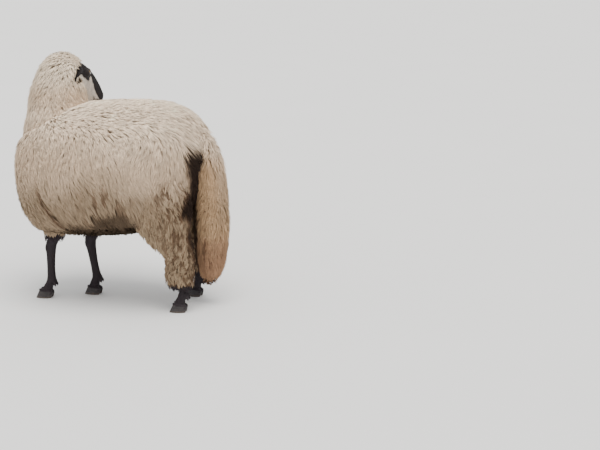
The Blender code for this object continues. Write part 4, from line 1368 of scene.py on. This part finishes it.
# claws: the tree presses growth ridges into the wall of each
def ridgeTree():
    tree = bpy.data.node_groups.new("clawRidges", "GeometryNodeTree")
    sizes = (("Ridges", "Float", 9.0), ("Depth", "Float", 0.0003), ("Height", "Float", 0.03))
    sockets = (("Geometry", "Geometry", None), *sizes, ("Material", "Material", None))
    names = {name: socket.identifier for name, socket in addSockets(tree, "INPUT", sockets).items()}
    addSockets(tree, "OUTPUT", (("Geometry", "Geometry", None),))
    source = tree.nodes.new("NodeGroupInput").outputs
    place = tree.nodes.new("GeometryNodeInputPosition").outputs[0]
    normal = tree.nodes.new("GeometryNodeInputNormal").outputs[0]
    height = addNode(tree, "ShaderNodeSeparateXYZ", {0: place}).outputs[2]
    noise = addNode(tree, "ShaderNodeTexNoise", {"Scale": 60.0}).outputs[0]
    part = mathNode(tree, "DIVIDE", height, source["Height"])
    warped = mathNode(tree, "ADD", part, mathNode(tree, "MULTIPLY", noise, 0.10))
    turns = mathNode(tree, "MULTIPLY", mathNode(tree, "MULTIPLY", warped, source["Ridges"]), 6.2832)
    wave = mathNode(tree, "SINE", turns)
    inWall = mathNode(tree, "GREATER_THAN", part, 0.12)
    inWall = mathNode(tree, "MULTIPLY", inWall, mathNode(tree, "LESS_THAN", part, 0.95))
    push = mathNode(tree, "MULTIPLY", mathNode(tree, "MULTIPLY", wave, source["Depth"]), inWall)
    item = source["Geometry"]
    for kind, inputs in (("SetPosition", {"Offset": scaleNode(tree, normal, push)}), ("RealizeInstances", {}),
                         ("SetMaterial", {"Material": source["Material"]})):
        item = addNode(tree, "GeometryNode" + kind, {"Geometry": item, **inputs}).outputs[0]
    addNode(tree, "NodeGroupOutput", {0: item})
    return tree, names


def hornMaterial():
    material, tree, shader = newMaterial("horn")
    place = tree.nodes.new("ShaderNodeTexCoord").outputs["Object"]
    layers = addNode(tree, "ShaderNodeMapping", {"Vector": place, "Scale": (60.0, 60.0, 420.0)}).outputs[0]
    bands = noiseNode(tree, layers, 1.0, 5.0)
    colours = rampNode(tree, bands, ((0.012, 0.010, 0.012), (0.060, 0.047, 0.044)), (0.35, 0.80))
    height = addNode(tree, "ShaderNodeSeparateXYZ", {0: place}).outputs[2]
    dusty = mathNode(tree, "MULTIPLY", stepNode(tree, height, 0.011, 0.0), noiseNode(tree, place, 140.0))
    colour = mixNode(tree, dusty, colours, (0.13, 0.10, 0.075, 1))
    relief = bumpNode(tree, bands, 0.35, 0.0006)
    feedAll(tree, shader, {"Base Color": colour, "Normal": relief, "Roughness": 0.42})
    return material


def makeClaws():
    tree, names = ridgeTree()
    inputs = {"Ridges": float(clawShape["rings"]), "Depth": clawShape["ringDepth"],
              "Height": clawShape["height"], "Material": hornMaterial()}
    angle = np.linspace(0, 2 * math.pi, 56, endpoint=False)
    walls = [(0.0, 0.93), (0.012, 0.965), (0.04, 0.985)]  # height and girth of each ring, rounded at the rims
    walls += [(height, 1.0) for height in np.linspace(0.08, 0.94, 40)]
    walls += [(0.975, 0.985), (0.995, 0.94), (1.0, 0.84)]
    for foot, (_, left, _, _) in feet.items():
        for word, inward in (("inner", -1), ("outer", 1)):
            side = math.copysign(1, left) * inward
            place = np.array(Matrix.Translation(shift) @ toePlace(foot, side))
            rings = []
            for z, grow in walls:
                radius = (1 - 0.16 * z) * grow
                x, y = radius * np.cos(angle), radius * np.sin(angle)
                toe = 1.0 - 0.38 * np.maximum(x, 0.0) ** 2
                height = z * clawShape["height"] * (1 - clawShape["heel"] * ramp(-x, -0.2, 0.9))
                forward = x * clawShape["length"] / 2 - z * clawShape["slope"]
                points = np.stack([forward, y * toe * clawShape["width"] / 2, height], 1)
                rings.append(points @ place[:3, :3].T + place[:3, 3])
            item = ringMesh(f"hoof_{foot}_{word}", rings)
            bpy.context.scene.collection.objects.link(item)
            press = item.modifiers.new("ridges", "NODES")
            press.node_group = tree
            for name, value in inputs.items():
                press[names[name]] = value
            graph = bpy.context.evaluated_depsgraph_get()
            mesh = bpy.data.meshes.new_from_object(item.evaluated_get(graph))
            item.modifiers.remove(press)
            item.data = mesh
            mesh.shade_smooth()
            mesh.set_sharp_from_angle(angle=math.radians(48))
            show(item, f"claw_{foot}_{word}", slot="horn")


makeClaws()
print("claws made")


# floor, lights and camera
stage = {"floor": 300.0, "floorColour": (0.86, 0.86, 0.85), "sky": (0.95, 0.96, 0.97), "skyStrength": 0.75}


def makeFloor():
    shape = bmesh.new()
    bmesh.ops.create_grid(shape, x_segments=8, y_segments=8, size=stage["floor"])
    floor = shapeObject("floor", shape)
    material, tree, shader = newMaterial("paleFloor")
    place = tree.nodes.new("ShaderNodeTexCoord").outputs["Object"]
    tones = [tuple(c * k for c in stage["floorColour"]) for k in (0.97, 1.0)]
    feed(tree, shader.inputs["Base Color"], rampNode(tree, noiseNode(tree, place, 1.5), tones))
    shader.inputs["Roughness"].default_value = 0.9
    floor.data.materials.append(material)
    bpy.context.scene.collection.objects.link(floor)


def sunLight(name, towards, strength, angle, colour=(1, 1, 1)):  # a wide sun is an even softbox
    light = bpy.data.lights.new(name, "SUN")
    light.energy, light.angle, light.color = strength, math.radians(angle), colour
    item = bpy.data.objects.new(name, light)
    item.rotation_euler = Vector(towards).to_track_quat("Z", "Y").to_euler()
    bpy.context.scene.collection.objects.link(item)


makeFloor()
sunLight("keySun", (-0.25, 0.30, 1.0), 3.3, 44, (1.0, 0.97, 0.93))
sunLight("fillSun", (0.70, 0.70, 0.8), 0.6, 90)
sunLight("backSun", (0.15, -0.8, 1.0), 0.7, 90)
world = bpy.data.worlds.new("studio")
world.use_nodes = True
world.node_tree.nodes["Background"].inputs[0].default_value = (*stage["sky"], 1)
world.node_tree.nodes["Background"].inputs[1].default_value = stage["skyStrength"]
bpy.context.scene.world = world

view = {"place": (-1.739, 4.423, 1.300), "yaw": -76.18, "down": 12.37, "lens": 82.8}
camera = bpy.data.cameras.new("camera")
camera.lens, camera.sensor_width = view["lens"], 36.0
cameraItem = bpy.data.objects.new("camera", camera)
yaw, down = math.radians(view["yaw"]), math.radians(view["down"])
look = Vector((math.cos(yaw) * math.cos(down), math.sin(yaw) * math.cos(down), -math.sin(down)))
cameraItem.location = Vector(view["place"]) + shift
cameraItem.rotation_euler = look.to_track_quat("-Z", "Y").to_euler()
bpy.context.scene.collection.objects.link(cameraItem)
bpy.context.scene.camera = cameraItem
